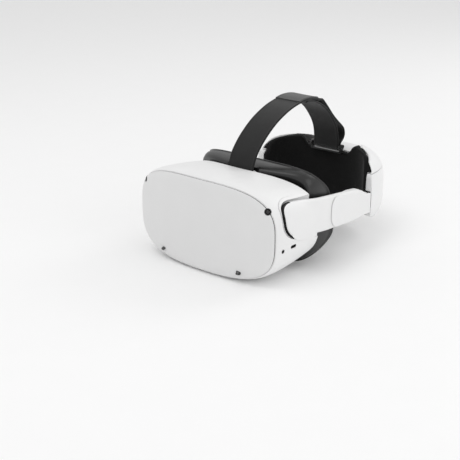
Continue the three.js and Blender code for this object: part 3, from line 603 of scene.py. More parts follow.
def dress(obj, material):
    obj.data.materials.clear()
    obj.data.materials.append(MATERIALS[material])


def finish_piece(obj, body, material, nodes=(), angle=35):
    """Gives a piece its shading, material and body, and hides the CAD nodes it stands for."""
    shade(obj, angle)
    dress(obj, material)
    if body:
        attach(obj, body)
    if nodes:
        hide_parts(*nodes)
    return obj


def add_pair(obj, suffix, body, material):
    """A left and a right piece that stand for no CAD node."""
    twin = mirrored(obj, f"right_{suffix}")
    obj.name = f"left_{suffix}"
    for piece in (obj, twin):
        finish_piece(piece, body, material)


def finish_pair(obj, suffix, body, material, node_suffix, angle=35):
    """The left piece and its mirror image on the right."""
    twin = mirrored(obj, f"right_{suffix}")
    obj.name = f"left_{suffix}"
    bodies = body if isinstance(body, tuple) else (body, body)
    finish_piece(obj, bodies[0], material, [f"left_{node_suffix}"], angle=angle)
    finish_piece(twin, bodies[1], material, [f"right_{node_suffix}"], angle=angle)


# ---------------------------------------------------------------- visor shell and cover

RING_POINTS = 560


def visor_size(depth):
    """Half width, half height, squareness and forward bow of the middle, at a depth behind the seam."""
    rise = np.sqrt(1 - (1 - clamp01(depth / VISOR["rounding"])) ** 2)
    back = clamp01((depth - VISOR["rounding"]) / (VISOR["depth"] - VISOR["rounding"])) ** 1.8
    share = clamp01(depth / VISOR["depth"])
    half_width = VISOR["half_width"] + VISOR["swell_x"] * rise - VISOR["taper_x"] * back
    half_height = VISOR["half_height"] + VISOR["swell_z"] * rise - VISOR["taper_z"] * back
    exponent = lerp(VISOR["seam_exponent"], VISOR["rim_exponent"], share)
    sag = lerp(VISOR["seam_sag"], VISOR["rim_sag"], share)
    return float(half_width), float(half_height), float(exponent), float(sag)


def visor_ring(depth, inset=0.0, shift=0.0, count=RING_POINTS):
    """The visor's outline at a depth behind the seam, drawn in by inset and moved back by shift."""
    half_width, half_height, exponent, sag = visor_size(depth)
    outline = super_outline(half_width - inset, half_height - inset, exponent, count)
    x, z = outline[:, 0], outline[:, 1]
    crown = VISOR["crown"] * (1 - clamp01(depth / VISOR["depth"]))
    bow = sag * (1 - (x / (half_width - inset)) ** 2)
    bow = bow + crown * (1 - (z / (half_height - inset)) ** 2)
    z = np.maximum(z, -VISOR["centre_z"] + inset)
    y = VISOR["seam_y"] + depth - bow + shift
    return np.stack([x, y, z + VISOR["centre_z"]], axis=1)


def visor_depths(rings_front=14, rings_back=34):
    """Distances behind the seam: close together where the side rounds over, then even."""
    angle = np.linspace(0, math.pi / 2, rings_front)
    front = VISOR["rounding"] * (1 - np.cos(angle))
    back = np.linspace(VISOR["rounding"], VISOR["depth"], rings_back)[1:]
    return np.concatenate([front, back])


def rounded_edge(depth, wall, steps=6):
    """Rings that turn over a wall's edge: from its outer face to its inner face."""
    rings = []
    for angle in np.linspace(0, math.pi, steps + 2)[1:-1]:
        inset = wall / 2 * (1 - math.cos(angle))
        rings.append(visor_ring(depth, inset, wall / 2 * math.sin(angle)))
    return rings


def arm_outer(y):
    """Where the arm's outer face stands. The arms close in on the head towards the rear."""
    return ARM["outer_x"] - ARM["narrowing"] * smooth(-5, 180, y)


def arm_thick(y):
    return lerp(ARM["thick"], ARM["thin"], smooth(30, 62, y))


def nose_round(shape, y):
    """How far an edge of the arm turns in towards its front end."""
    return shape["drop"] * quarter((y - ARM["front_y"]) / shape["length"])


def arm_top(y):
    return ARM["top_z"] - ARM["top_slope"] * (y - 15) - nose_round(ARM["top_nose"], y)


def arm_bottom(y):
    belly = ARM["belly"] * smooth(20, 85, y) * (1 - smooth(128, 166, y))
    return ARM["bottom_z"] - ARM["bottom_slope"] * (y - 12) - belly + nose_round(ARM["bottom_nose"], y)


POCKET_POINTS = 26


def pocket_outline(extra=0.0):
    """The pocket seen from the side: the arm's outline with a clearance round it.

    Below the arm the clearance grows to the rear, where a tilting arm moves furthest.
    """
    nose = ARM["front_y"] + 26 * (1 - np.cos(np.linspace(0, math.pi / 2, POCKET_POINTS)))
    y = np.concatenate([nose, np.linspace(28, 92, POCKET_POINTS)])
    ahead = (POCKET["front"] + extra) * clamp01(1 - (y - ARM["front_y"]) / 14) ** 0.5
    under = POCKET["bottom"] + POCKET["opening"] * np.maximum(0, y - ARM["pivot"][0]) + 0.15 * extra
    over = POCKET["top"] + 0.03 * np.maximum(0, y - ARM["pivot"][0]) + extra
    top = np.stack([y - ahead, arm_top(y) + over], axis=1)
    low = np.stack([y - ahead, arm_bottom(y) - under], axis=1)
    return np.vstack([low, top[::-1]])


def visor_surface_x(y, z):
    """How far out the visor's side stands at a point seen from the side."""
    height = abs(z - VISOR["centre_z"])
    depth = y - VISOR["seam_y"]
    x = VISOR["half_width"]
    for _ in range(12):
        half_width, half_height, exponent, sag = visor_size(max(0.0, min(depth, VISOR["depth"])))
        share = min(0.999, height / half_height)
        x = half_width * (1 - share**exponent) ** (1 / exponent)
        depth = y - VISOR["seam_y"] + sag * (1 - (x / half_width) ** 2)
    return x


def pocket_tool():
    """The pocket as a solid whose mouth flares into a soft chamfer on the visor's side."""
    levels = [(-1, 0.0), (2.6, 0.0), (1.4, 0.35), (0.6, 1.0), (0.0, 1.9), (-1.0, 3.2), (-6, 3.2)]
    base = pocket_outline()
    surface = np.array([visor_surface_x(y, z) for y, z in base])
    rings = []
    for below, flare in levels:
        outline = pocket_outline(flare)
        if below == -1:
            x = np.full(len(outline), POCKET["floor_x"])
        else:
            x = np.maximum(surface - below, POCKET["floor_x"] + 0.1 * (1 + flare))
        rings.append(np.stack([x, outline[:, 0], outline[:, 1]], axis=1))
    return loft("pocket_tool", rings)


def along(camera, profile, name, segments=48):
    """A turned profile of [radius, distance] pairs about a camera's axis, flattened across it."""
    obj = turned(name, "y", profile, (0, 0), segments)
    aim = Vector(camera["aim"]).normalized()
    level = Vector((-aim.y, aim.x, 0)).normalized()
    upright = level.cross(aim)
    turn = Matrix((level, aim, upright * camera["flat"])).transposed().to_4x4()
    place = Matrix.Translation(Vector(camera["at"]) * MM) @ turn
    obj.data.transform(place)
    if turn.determinant() < 0:
        obj.data.flip_normals()
    return obj


def camera_bores():
    bores = []
    for level, camera in CAMERAS.items():
        radius = camera["radius"] + GAP
        profile = [(0, -12), (radius, -12), (radius, 8), (0, 8)]
        bore = along(camera, profile, f"bore_{level}")
        bores += [bore, mirrored(bore, f"bore_{level}_right")]
    return bores


def side_pill(name, shape, grow, start, end):
    outline = pill(shape["y"], shape["z"], shape["length"] + grow, shape["width"] + grow)
    return prism(name, "x", outline, start, end)


def make_visor_shell():
    depths = visor_depths()
    edge = 0.45
    rings = [visor_ring(0.0, edge, 0.0)]
    rings += [visor_ring(d, 0.0, edge * quarter(d / 0.6)) for d in depths]
    rings += rounded_edge(VISOR["depth"], VISOR["wall"])
    rings += [visor_ring(d, VISOR["wall"]) for d in depths[::-3]]
    shell = loft("visor_shell_fine", rings, closed=True)
    outside = loft("outside", [visor_ring(d, 0.02, 0.0, 400) for d in depths])
    wall = POCKET["wall"]
    tub_outline = pocket_outline(wall)
    tub_outline[: 2 * POCKET_POINTS, 1] -= wall
    tub = keep(prism("tub", "x", tub_outline, POCKET["floor_x"] - wall, 99), outside)
    join(shell, tub, mirrored(tub, "tub_right"))
    hollow = pocket_tool()
    pin_hole = cylinder("pin_hole", "x", 70, 90, ARM["pivot"], ARM["pin_radius"] + GAP)
    power = side_pill("power_hole", POWER, 0.8, -99, -88)
    light = cylinder("light_hole", "x", -99, -88, (LIGHT["y"], LIGHT["z"]), LIGHT["radius"] + GAP, 32)
    rocker = prism(
        "rocker_hole", "z",
        pill(VOLUME["x"], VOLUME["y"], VOLUME["length"] + 1, VOLUME["width"] + 1), -5, 6,
    )
    cut(
        shell, hollow, mirrored(hollow, "hollow_right"), pin_hole,
        mirrored(pin_hole, "pin_hole_right"), *camera_bores(),
        side_pill("usb_hole", USB, 0.8, 84, 99), side_pill("audio_hole", AUDIO, 0.8, 84, 99),
        power, light, rocker,
    )
    finish_piece(shell, "visor", "white_plastic", ["visor_shell"], angle=30)


def make_front_cover():
    """A shallow dish: flat-domed in the middle, its edge curving back to the seam."""
    half_width, half_height = VISOR["half_width"], VISOR["half_height"]

    def sheet(inset, factor, forward):
        outline = super_outline(
            half_width - inset, half_height - inset, VISOR["seam_exponent"], RING_POINTS
        ) * factor
        x, z = outline[:, 0], outline[:, 1]
        bow = VISOR["seam_sag"] * (1 - (x / half_width) ** 2)
        bow = bow + VISOR["crown"] * (1 - (z / half_height) ** 2)
        y = VISOR["seam_y"] - bow - forward
        return np.stack([x, y, z + VISOR["centre_z"]], axis=1)

    edge, rise, wall = COVER["edge"], COVER["rise"], COVER["wall"]
    rings = [sheet(edge, f, GAP + rise - wall) for f in (0.02, 0.3, 0.6, 0.85, 1.0)]
    seam = COVER["seam"]
    rings += [sheet(wall + 1.0, 1, seam + 0.6), sheet(wall, 1, seam + 0.1), sheet(1.2, 1, seam)]
    rings.append(sheet(0.3, 1, seam))
    for angle in np.linspace(0.12, math.pi / 2, 18):
        rings.append(sheet(edge * (1 - math.cos(angle)), 1, seam + (GAP + rise - seam) * math.sin(angle)))
    rings += [sheet(edge, f, GAP + rise) for f in np.linspace(1, 0.02, 22)[1:]]
    # A dark ring just under the seam between the cover and the shell: painted shade that makes the seam's gap
    # read dark.
    outer, inner, rear, front = 0.35, 2.3, 0.1, -seam - 0.1
    corners = ((outer, rear), (outer, front), (inner, front), (inner, rear))
    seam_shade = loft("cover_seam_shade", [visor_ring(0.0, inset, y) for inset, y in corners], closed=True)
    finish_piece(cut(seam_shade, *camera_bores()), "visor", "rubber")
    cover = cut(loft("front_cover_fine", rings), *camera_bores())
    finish_piece(cover, "visor", "cover_white", ["front_cover"], angle=30)


def make_cameras():
    """A black barrel with a ring round a small domed eye."""
    for level, camera in CAMERAS.items():
        r = camera["radius"]
        profile = [(0, -7), (r, -7), (r, 0.1), (r - 0.12, 0.35), (r - 0.4, 0.45)]
        profile += [(r * 0.78, 0.42), (r * 0.7, 0.05), (r * 0.62, -0.15), (r * 0.58, 0.1)]
        for angle in np.linspace(0.2, math.pi / 2, 8):
            profile.append((r * 0.56 * math.cos(angle), 0.1 + 0.8 * math.sin(angle)))
        profile[-1] = (0, profile[-1][1])
        profile = [(radius, distance - camera["sink"]) for radius, distance in profile]
        camera_left = along(camera, profile, f"camera_{level}_left_fine")
        camera_right = mirrored(camera_left, f"camera_{level}_right_fine")
        finish_piece(camera_left, "visor", "camera_glass", [f"camera_{level}_left"])
        finish_piece(camera_right, "visor", "camera_glass", [f"camera_{level}_right"])


def pill_cap(name, shape, start, end, bevel=0.4):
    """A pill-shaped cap along X whose outer end is rounded over."""
    direction = 1 if end > start else -1
    rings = []
    stations = [(start, 0.0)]
    for angle in np.linspace(0, math.pi / 2, 6):
        stations.append((end - direction * bevel * (1 - math.sin(angle)), bevel * (1 - math.cos(angle))))
    for x, inset in stations:
        outline = pill(shape["y"], shape["z"], shape["length"] - 2 * inset, shape["width"] - 2 * inset)
        rings.append(np.column_stack([np.full(len(outline), x), outline]))
    return loft(name, rings)


def make_ports():
    usb = pill_cap("usb_socket_fine", {**USB, "length": 8.8, "width": 3.2}, 86, 95.0)
    mouth = side_pill("usb_mouth", USB, -1.0, 88, 99)
    tab = box_at("usb_tab", (87, USB["y"] - 3, USB["z"] - 0.35), (93.6, USB["y"] + 3, USB["z"] + 0.35))
    usb = join(cut(usb, mouth), tab)
    finish_piece(usb, "visor", "black_plastic", ["usb_socket"])
    centre = (AUDIO["y"], AUDIO["z"])
    r = AUDIO["length"] / 2
    jack = turned("audio_jack_fine", "x", [
        (0, 88), (1.1, 88), (1.1, 94.6), (1.4, 95.0), (r, 95.0), (r + 0.2, 94.8), (r + 0.2, 84), (0, 84),
    ], centre)
    finish_piece(jack, "visor", "black_plastic", ["audio_jack"])
    cap = pill_cap("power_button_fine", POWER, -91, POWER["face_x"], 0.5)
    flange = side_pill("power_flange", POWER, 2, -91.2, -90.2)
    finish_piece(join(cap, flange), "power_button", "white_plastic", ["power_button"])
    light = turned("status_light_fine", "x", [
        (0, -90), (1, -90), (1, -95.0), (0.85, -95.25), (0.5, -95.4), (0, -95.45),
    ], (LIGHT["y"], LIGHT["z"]), 32)
    finish_piece(light, "visor", "clear_lens", ["status_light"])
    half = VOLUME["length"] / 2
    rings = []
    for inset, z in ((0.5, 0.8), (0.15, 0.95), (0, 1.3), (0, 3.2), (2.0, 3.3)):
        outline = pill(VOLUME["x"], VOLUME["y"], VOLUME["length"] - 2 * inset, VOLUME["width"] - 2 * inset)
        dish = 0.35 * (1 - ((outline[:, 0] - VOLUME["x"]) / half) ** 2) if z < 1 else 0 * outline[:, 0]
        rings.append(np.column_stack([outline, z + dish]))
    finish_piece(loft("volume_rocker_fine", rings), "volume_rocker", "white_plastic", ["volume_rocker"])


# ---------------------------------------------------------------- optics and inside the visor


def lens_dome(steps=14):
    """Half of a lens face's profile, from its rim to its middle: radius and bulge."""
    r = LENS["radius"] * (1 - np.arange(steps + 1) / steps)
    return [(float(v), LENS["bulge"] * (1 - (float(v) / LENS["radius"]) ** 2)) for v in r]


def make_optics():
    centre = (LENS["centre_x"], VISOR["centre_z"])
    front = [(r, LENS["y"] - LENS["half_rim"] - h) for r, h in lens_dome()][::-1]
    rear = [(r, LENS["y"] + LENS["half_rim"] + h) for r, h in lens_dome()]
    lens = turned("lens", "y", front + rear, centre, 96)
    finish_pair(lens, "lens_fine", ("left_lens", "right_lens"), "clear_lens", "lens")

    stations = ((0, 25.6, 2), (10, 24.6, 1.1), (20, 23.8, 0.4), (35.4, 23.6, 0), (36, 23.2, 0))

    def tube(name, grow, rear_lip=0.0):
        """The carrier's outline: nearly square at the display, round at the lens."""
        rings = []
        for y, half, corner in stations:
            if grow < 0 and y in (0, 36):
                y = y + (rear_lip if y else -rear_lip)
            outline = super_outline(half + grow, half + grow, 2 + corner, 96)
            rings.append(np.column_stack([
                outline[:, 0] + centre[0], np.full(96, float(y)), outline[:, 1] + centre[1],
            ]))
        return loft(name, rings)

    carrier = tube("lens_carrier", 0)
    rail = LENS["rail_z"]
    for side in (1, -1):
        low = centre[1] + side * (rail - 1) - 5
        join(carrier, box_at("tab", (centre[0] - 7, 3, low), (centre[0] + 7, 13, low + 10)))
    seat = cylinder("seat", "y", 31.4, 40, centre, LENS["radius"] + GAP, 96)
    holes = [
        cylinder("rail_hole", "x", 0, 80, (8, centre[1] + side * rail), 1.8, 24) for side in (1, -1)
    ]
    cut(carrier, tube("light_path", -2.6, 2.0), seat, *holes)
    finish_pair(carrier, "lens_carrier_fine", ("left_lens", "right_lens"), "black_plastic", "lens_carrier")


def make_bezel():
    """The plate behind the lenses, with an eye hole for each and lugs that hold the lens rails."""
    middle = VISOR["centre_z"]
    outline = super_outline(BEZEL["half_width"], BEZEL["half_height"], BEZEL["exponent"], 220)
    outline[:, 1] += middle
    plate = prism("rear_bezel_fine", "y", outline, *BEZEL["y"])
    front, rear = BEZEL_LUG["y"]
    lugs = []
    for side in (1, -1):
        for level in (1, -1):
            z = middle + level * LENS["rail_z"]
            low, high = sorted(side * x for x in BEZEL_LUG["x"])
            lugs.append(box_at(
                "lug", (low, front, z - BEZEL_LUG["half_height"]), (high, rear, z + BEZEL_LUG["half_height"]),
            ))
    join(plate, *lugs)
    tools = []
    for side in (1, -1):
        hole = super_outline(28, 25, 2, 120) + np.array([side * LENS["centre_x"], middle])
        tools.append(prism("eye", "y", hole, 25, 38))
        for z in BEZEL_SCREW["z"]:
            centre = (side * BEZEL_SCREW["x"], z)
            tools.append(cylinder("screw_hole", "y", 28, 40, centre, BEZEL_SCREW["hole_r"], 24))
    cut(plate, *tools)
    soften(plate, 0.7, 4)
    finish_piece(plate, "visor", "black_plastic", ["rear_bezel"])


# ---------------------------------------------------------------- facial interface


def face_rear(z):
    """How far back the cushion reaches: least by the nose, more over the brow, most at the sides."""
    upper, lower = FACE["upper"], FACE["lower"]
    half_height = np.where(z > 0, upper["half_height"], lower["half_height"])
    rear = lerp(lower["rear_y"], upper["rear_y"], smooth(-30, 30, z))
    temple = lerp(lower["temple_y"], upper["temple_y"], smooth(-18, -11, z))
    sweep = clamp01((1 - np.abs(z) / half_height) / 0.62)
    return lerp(rear, temple, np.sin(math.pi / 2 * sweep) ** 1.3)


def face_ring(inset, y_of, count=360):
    """An outline round the face opening, drawn in by a margin, whose Y comes from y_of(x, z)."""
    halves = [
        super_outline(FACE["half_width"], FACE[half]["half_height"], FACE[half]["exponent"], count)
        for half in ("upper", "lower")
    ]
    upper_part = np.arange(count)[:, None] <= count // 2
    outline = np.where(upper_part, halves[0], halves[1])
    x, z = outline[:, 0], outline[:, 1]
    half_height = np.where(z > 0, FACE["upper"]["half_height"], FACE["lower"]["half_height"])
    scale_x = (FACE["half_width"] - inset) / FACE["half_width"]
    scale_z = (half_height - inset) / half_height
    return np.stack([x * scale_x, y_of(x, z), z * scale_z + VISOR["centre_z"]], axis=1)


def face_front(x):
    """How far back the band starts: a little behind the visor's rim, which curves back at its ends."""
    rim_half_width = VISOR["half_width"] + VISOR["swell_x"] - VISOR["taper_x"]
    rim_y = VISOR["seam_y"] + VISOR["depth"]
    return rim_y - VISOR["rim_sag"] * (1 - (x / rim_half_width) ** 2) + FACE["rim_gap"]


def make_face_frame():
    """The satin band between the visor and the cushion, with a lip at its rear edge."""

    def at(share, extra=0.0):
        return lambda x, z: lerp(face_front(x), face_rear(z) - FACE["pad_depth"], share) + extra

    profile = [(7.0, -1.0), (5.6, -0.4), (4.4, 0.4), (3.4, 1.8)]
    rings = [face_ring(15, at(0, -FACE["skirt"])), face_ring(15, at(0, -1.6)), face_ring(14.4, at(0, -1.1))]
    rings += [face_ring(inset, at(0, extra)) for inset, extra in profile]
    rings += [face_ring(i, at(s)) for i, s in ((2.4, 0.25), (1.6, 0.42), (1.1, 0.6), (0.9, 0.8))]
    rings += [face_ring(0.9, at(1, -2.4)), face_ring(0.3, at(1, -1.7)), face_ring(0.0, at(1, -1.1))]
    rings += [face_ring(0.0, at(1, -0.4)), face_ring(0.4, at(1)), face_ring(4.5, at(1)), face_ring(9, at(1))]
    rings += [face_ring(9, at(1, -2.0)), face_ring(4.2, at(1, -2.4)), face_ring(3.4, at(0.8))]
    rings += [face_ring(3.6, at(0.5)), face_ring(4.6, at(0.25)), face_ring(7.4, at(0, 1.8))]
    rings += [face_ring(16.4, at(0, 1.2)), face_ring(17, at(0, 0.6)), face_ring(17, at(0, -FACE["skirt"]))]
    band = loft("facial_interface_frame_fine", rings, closed=True)
    cut(band, box_at("strap_slot", (-21.6, 30, 84), (21.6, 47, 102)))
    finish_piece(band, "visor", "satin_black", ["facial_interface_frame"], angle=50)


def inflate(obj, cap, frames=20):
    """Inflates a closed mesh with a short cloth simulation, and caps how far a point may move."""
    co = np.zeros(len(obj.data.vertices) * 3)
    obj.data.vertices.foreach_get("co", co)
    rest = co.reshape(-1, 3)
    cloth = obj.modifiers.new("cloth", "CLOTH")
    settings = cloth.settings
    settings.quality = 6
    settings.mass = 0.15
    settings.tension_stiffness = 8
    settings.compression_stiffness = 8
    settings.shear_stiffness = 4
    settings.bending_stiffness = 0.4
    settings.use_pressure = True
    settings.uniform_pressure_force = 4.0
    settings.effector_weights.gravity = 0
    cloth.collision_settings.use_collision = False
    scene = bpy.context.scene
    for number in range(1, frames + 1):
        scene.frame_set(number)
    graph = bpy.context.evaluated_depsgraph_get()
    puffed = np.zeros(len(rest) * 3)
    obj.evaluated_get(graph).data.vertices.foreach_get("co", puffed)
    moved = puffed.reshape(-1, 3) - rest
    far = np.maximum(np.linalg.norm(moved, axis=1, keepdims=True), 1e-9)
    rest = rest + moved * np.minimum(1, cap * MM / far)
    obj.modifiers.clear()
    obj.data.vertices.foreach_set("co", rest.ravel())
    obj.data.update()
    scene.frame_set(1)


def cushion(obj, voxel, cap):
    """Padded foam: an even remesh, the inflation, then one subdivision."""
    remesh = obj.modifiers.new("even", "REMESH")
    remesh.mode = "VOXEL"
    remesh.voxel_size = voxel * MM
    bake(obj)
    inflate(obj, cap)
    relax = obj.modifiers.new("relax", "SMOOTH")
    relax.iterations = 3
    subdivide = obj.modifiers.new("fine", "SUBSURF")
    subdivide.levels = subdivide.render_levels = 1
    return bake(obj)


def make_face_cushion():
    def rear(extra):
        return lambda x, z: face_rear(z) - FACE["pad_depth"] + extra

    rings = [
        face_ring(2.0, rear(1.4), 160), face_ring(1.6, rear(3.6), 160), face_ring(3.2, rear(5.4), 160),
        face_ring(6.0, rear(6.2), 160), face_ring(9.0, rear(5.8), 160), face_ring(11.2, rear(3.6), 160),
        face_ring(10.8, rear(1.4), 160),
    ]
    pad = cushion(loft("face_cushion_fine", rings, closed=True), 2.2, 1.5)
    finish_piece(pad, "visor", "foam", ["face_cushion"], angle=180)


def make_nose_flap():
    """A thin rubber flap with two lobes that close the gap beside the nose."""
    edge = spline([
        (-22, 13.5), (-20, 19), (-16.5, 23.5), (-12.5, 21.5), (-8, 17.5), (0, 16.6), (8, 17.5),
        (12.5, 21.5), (16.5, 23.5), (20, 19), (22, 13.5),
    ], 90)
    outline = np.vstack([edge, [(20, 12.6), (0, 12.4), (-20, 12.6)]])
    flap = prism("nose_flap_fine", "y", outline, 48.2, 49.6)
    finish_piece(soften(flap, 0.35, 4), "visor", "rubber", ["nose_flap"])


# ---------------------------------------------------------------- speaker arms and sleeves


def section(y, x_low, x_high, z_low, z_high, corner, arc=7, side=0):
    """A rounded rectangle in X and Z at one station along Y, with more points on its upright sides."""
    radius = max(0.02, min(corner, (x_high - x_low) / 2 - 0.01, (z_high - z_low) / 2 - 0.01))
    ring = []
    centres = [(x_high - radius, z_high - radius), (x_low + radius, z_high - radius)]
    centres += [(x_low + radius, z_low + radius), (x_high - radius, z_low + radius)]
    for turn, (cx, cz) in enumerate(centres):
        for angle in np.linspace(turn, turn + 1, arc) * (math.pi / 2):
            ring.append((cx + radius * math.cos(angle), y, cz + radius * math.sin(angle)))
        if turn in (1, 3) and side:
            end = z_low + radius if turn == 1 else z_high - radius
            x = x_low if turn == 1 else x_high
            ring += [(x, y, z) for z in np.linspace(ring[-1][2], end, side + 2)[1:-1]]
    return ring


def arm_stations():
    """Places along the arm where its section is drawn, close together at its nose."""
    nose = ARM["front_y"] + 26 * (1 - np.cos(np.linspace(0.03, math.pi / 2, 30)))
    return np.concatenate([[ARM["front_y"]], nose, np.linspace(28, ARM["step_y"], 22)])


def arm_solid(name, grow, corner):
    """The arm's outline grown by a margin. Past the step it narrows to the plug in the sleeve."""
    rings = []
    stations = arm_stations()
    for k, y in enumerate(stations):
        outer = arm_outer(y)
        soft = ARM["edge"] * quarter((y - ARM["front_y"] + 0.05) / ARM["edge"])
        shift = (-grow if k == 0 else 0) + (grow if k == len(stations) - 1 else 0)
        rings.append(section(
            y + shift, outer - arm_thick(y) - grow + soft, outer + grow - soft,
            arm_bottom(y) - grow, arm_top(y) + grow, corner, side=14,
        ))
    inset = ARM["plug_inset"]
    for y in (ARM["step_y"] + grow + 0.01, ARM["end_y"] + grow):
        outer = arm_outer(y) - inset / 2
        rings.append(section(
            y, outer - arm_thick(y) + inset - grow, outer + grow,
            arm_bottom(y) + inset - grow, arm_top(y) - inset + grow, corner - 0.8, side=14,
        ))
    return loft(name, rings)


def arm_side(name, side, offset):
    """Everything on one side of the arm's parting surface."""
    rings = []
    for y in np.linspace(-6, 121, 40):
        split = arm_outer(y) - arm_thick(y) / 2 + side * offset
        low, high = (split, split + 30) if side > 0 else (split - 30, split)
        rings.append(section(y, low, high, 20, 110, 0.5, 3))
    return loft(name, rings)


def follow_share(y):
    """1 where the arm's outer face follows the visor's side, 0 where it keeps its own line."""
    return 1 - float(smooth(*LEAVES_VISOR, y))


def arm_lift(y, z):
    """How far the arm's outer face moves so that it follows the visor's side, just proud of it."""
    share = follow_share(y)
    if share == 0:
        return 0.0
    return share * float(visor_surface_x(y, z) + ARM["proud"] - arm_outer(y))


def follow_visor(obj):
    """Moves a piece of the arm with its outer face, and less towards its inner face."""
    for vertex in obj.data.vertices:
        x, y, z = vertex.co / MM
        depth = float(arm_thick(y))
        weight = float(clamp01((x - arm_outer(y) + depth) / depth))
        vertex.co.x += arm_lift(y, z) * weight * MM
    obj.data.update()
    return obj


def arm_lip():
    """The arm's lower edge runs on outside the visor's side, and covers the gap below it."""
    rings = []
    for y in np.linspace(9.5, 58.5, 50):
        reach = (POCKET["bottom"] + 0.8 + 0.055 * max(0.0, y - ARM["pivot"][0])) * float(smooth(9, 16, y))
        low, high = float(arm_bottom(y)) - reach, float(arm_bottom(y)) + 2.6
        ring = []
        proud = ARM["proud"]
        for z, out in ((low, 0.25), (low, 0.62), (low + 0.2, proud), (high, proud), (high, 0.25)):
            ring.append((visor_surface_x(y, z) + out, y, z))
        share = follow_share(y)
        drop = (1 - share) * (visor_surface_x(y, high) + ARM["proud"] - arm_outer(y))
        rings.append([(x - max(0.0, drop), y, z) for x, y, z in ring])
    return loft("arm_lip", rings)


def arm_nose_shade():
    """A dark strip round the arm's nose, below its outer face: painted shade in the gap between the arm and
    its pocket.
    """
    shade_piece = cut(arm_solid("shade_piece", 0.1, ARM["corner"]), arm_solid("shade_core", -0.5, 2.2))
    keep(shade_piece, box_at("nose", (60, -4, 40), (99, 17, 90)))
    return follow_visor(keep(shade_piece, arm_side("shade_side", -1, -3.9)))


def make_arms():
    skin = cut(arm_solid("arm_skin", 0, ARM["corner"]), arm_solid("arm_cavity", -ARM["wall"], 1.6))
    outer = follow_visor(keep(copied(skin, "arm_outer"), arm_side("outer_side", 1, 0.14)))
    join(outer, arm_lip())
    inner = follow_visor(keep(skin, arm_side("inner_side", -1, 0.14)))
    pivot = cylinder("pin_bore", "x", 70, 87, ARM["pivot"], ARM["pin_radius"] + GAP)
    grille = [
        prism("grille", "x", pill(35 + 8 * k, 73.4 - 0.8 * k, 6, 2), 70, 87.3) for k in range(3)
    ]
    cut(inner, pivot, *grille)
    finish_pair(outer, "speaker_arm_fine", "strap_arms", "white_plastic", "speaker_arm")
    finish_pair(inner, "arm_inner_cover_fine", "strap_arms", "white_plastic", "arm_inner_cover")
    # A dark strip round each arm's nose: painted shade in the pocket's gap.
    add_pair(arm_nose_shade(), "arm_nose_shade", "strap_arms", "rubber")
    x = float(arm_outer(42) - arm_thick(42) / 2)
    driver = pill_cap("driver", {"y": 42, "z": 64, "length": 26, "width": 15}, x - 1.5, x + 1.5, 0.5)
    finish_pair(driver, "speaker_driver_fine", "strap_arms", "black_plastic", "speaker_driver")
    pin = turned("pin", "x", [
        (0, 75.6), (4.7, 75.6), (5, 75.9), (5, 78.1), (3, 78.1), (3, 86.8), (4.6, 86.8), (4.6, 88.5),
        (4.3, 88.8), (0, 88.8),
    ], ARM["pivot"], 48)
    finish_pair(pin, "pivot_pin_fine", "visor", "steel", "pivot_pin")


def sleeve_dip(y):
    """How far the sleeve's top edge falls below the arm's line at its rear end."""
    return 6.5 * smooth(142, 162, y)


def sleeve_inner(y):
    """Where the sleeve's inner face stands."""
    return arm_outer(y) - arm_thick(y) - 0.2 - 2.9 * smooth(112, 130, y)


def make_sleeves():
    """The strap end that clips over the arm: flush at its edges, with a proud plate outside."""
    rings = []
    wrap_front = ARM["step_y"] + 0.35
    for y in np.concatenate([[wrap_front], np.linspace(wrap_front + 0.4, SLEEVE["end_y"], 40)]):
        soft = 0.3 if y == wrap_front else 0.0
        rings.append(section(
            y, sleeve_inner(y) + soft, arm_outer(y) - soft,
            arm_bottom(y) + soft, arm_top(y) - sleeve_dip(y) - soft, 2.6,
        ))
    body = loft("sleeve", rings)
    rings = []
    front, bow = SLEEVE["front_y"], SLEEVE["bow"]
    nose = front + bow * (1 - np.cos(np.linspace(0.02, math.pi / 2, 26)))
    for y in np.concatenate([nose, np.linspace(front + bow + 1, SLEEVE["end_y"], 40)]):
        share = math.sqrt(1 - clamp01((front + bow - y) / bow) ** 2) ** 0.8
        top = arm_top(y) - 1.5 * (1 - smooth(136, 150, y)) - sleeve_dip(y)
        low = arm_bottom(y) + 0.8
        middle, half = (top + low) / 2, (top - low) / 2 * share
        proud = SLEEVE["proud"] * (1 - quarter((y - front + 0.02) / 1.2))
        rings.append(section(y, arm_outer(y) - 2.4, arm_outer(y) + proud, middle - half, middle + half, 1.0))
    join(body, loft("plate", rings))
    cut(body, arm_solid("clear_arm", GAP, ARM["corner"]), tongue("slot", 0.5, SLEEVE["end_y"] + 3))
    soften(body, 0.5, 3)
    finish_pair(body, "arm_sleeve_fine", "strap_arms", "white_plastic", "arm_sleeve")
    # A dark plate on the sleeve's rear end: painted shade in the gap between the sleeve and the cradle.
    end = SLEEVE["end_y"]
    inside = [sleeve_inner(end) + 0.9, arm_outer(end) + SLEEVE["proud"] - 0.9]
    shade_piece = loft("end_shade", [section(
        y, *inside, arm_bottom(end) + 1.0, arm_top(end) - sleeve_dip(end) - 1.0, 1.6
    ) for y in (end - 0.6, end + 0.5)])
    add_pair(cut(shade_piece, tongue("shade_slot", 0.4, end + 3)), "sleeve_end_shade", "strap_arms", "rubber")


def tongue(name, grow, end_y):
    """The strap's flat tongue, which bends inward inside the cradle."""
    rings = []
    half = TONGUE["height"] / 2 + grow
    for y in np.linspace(TONGUE["start_y"] - grow, end_y, 40):
        bend = 0.0075 * max(0.0, y - CRADLE["front_y"]) ** 2
        x = TONGUE["x"] + 0.05 * max(0.0, CRADLE["front_y"] - y) - bend
        reach = TONGUE["thick"] / 2 + grow
        rings.append(section(y, x - reach, x + reach, TONGUE["z"] - half, TONGUE["z"] + half, 0.6, 4))
    return loft(name, rings)


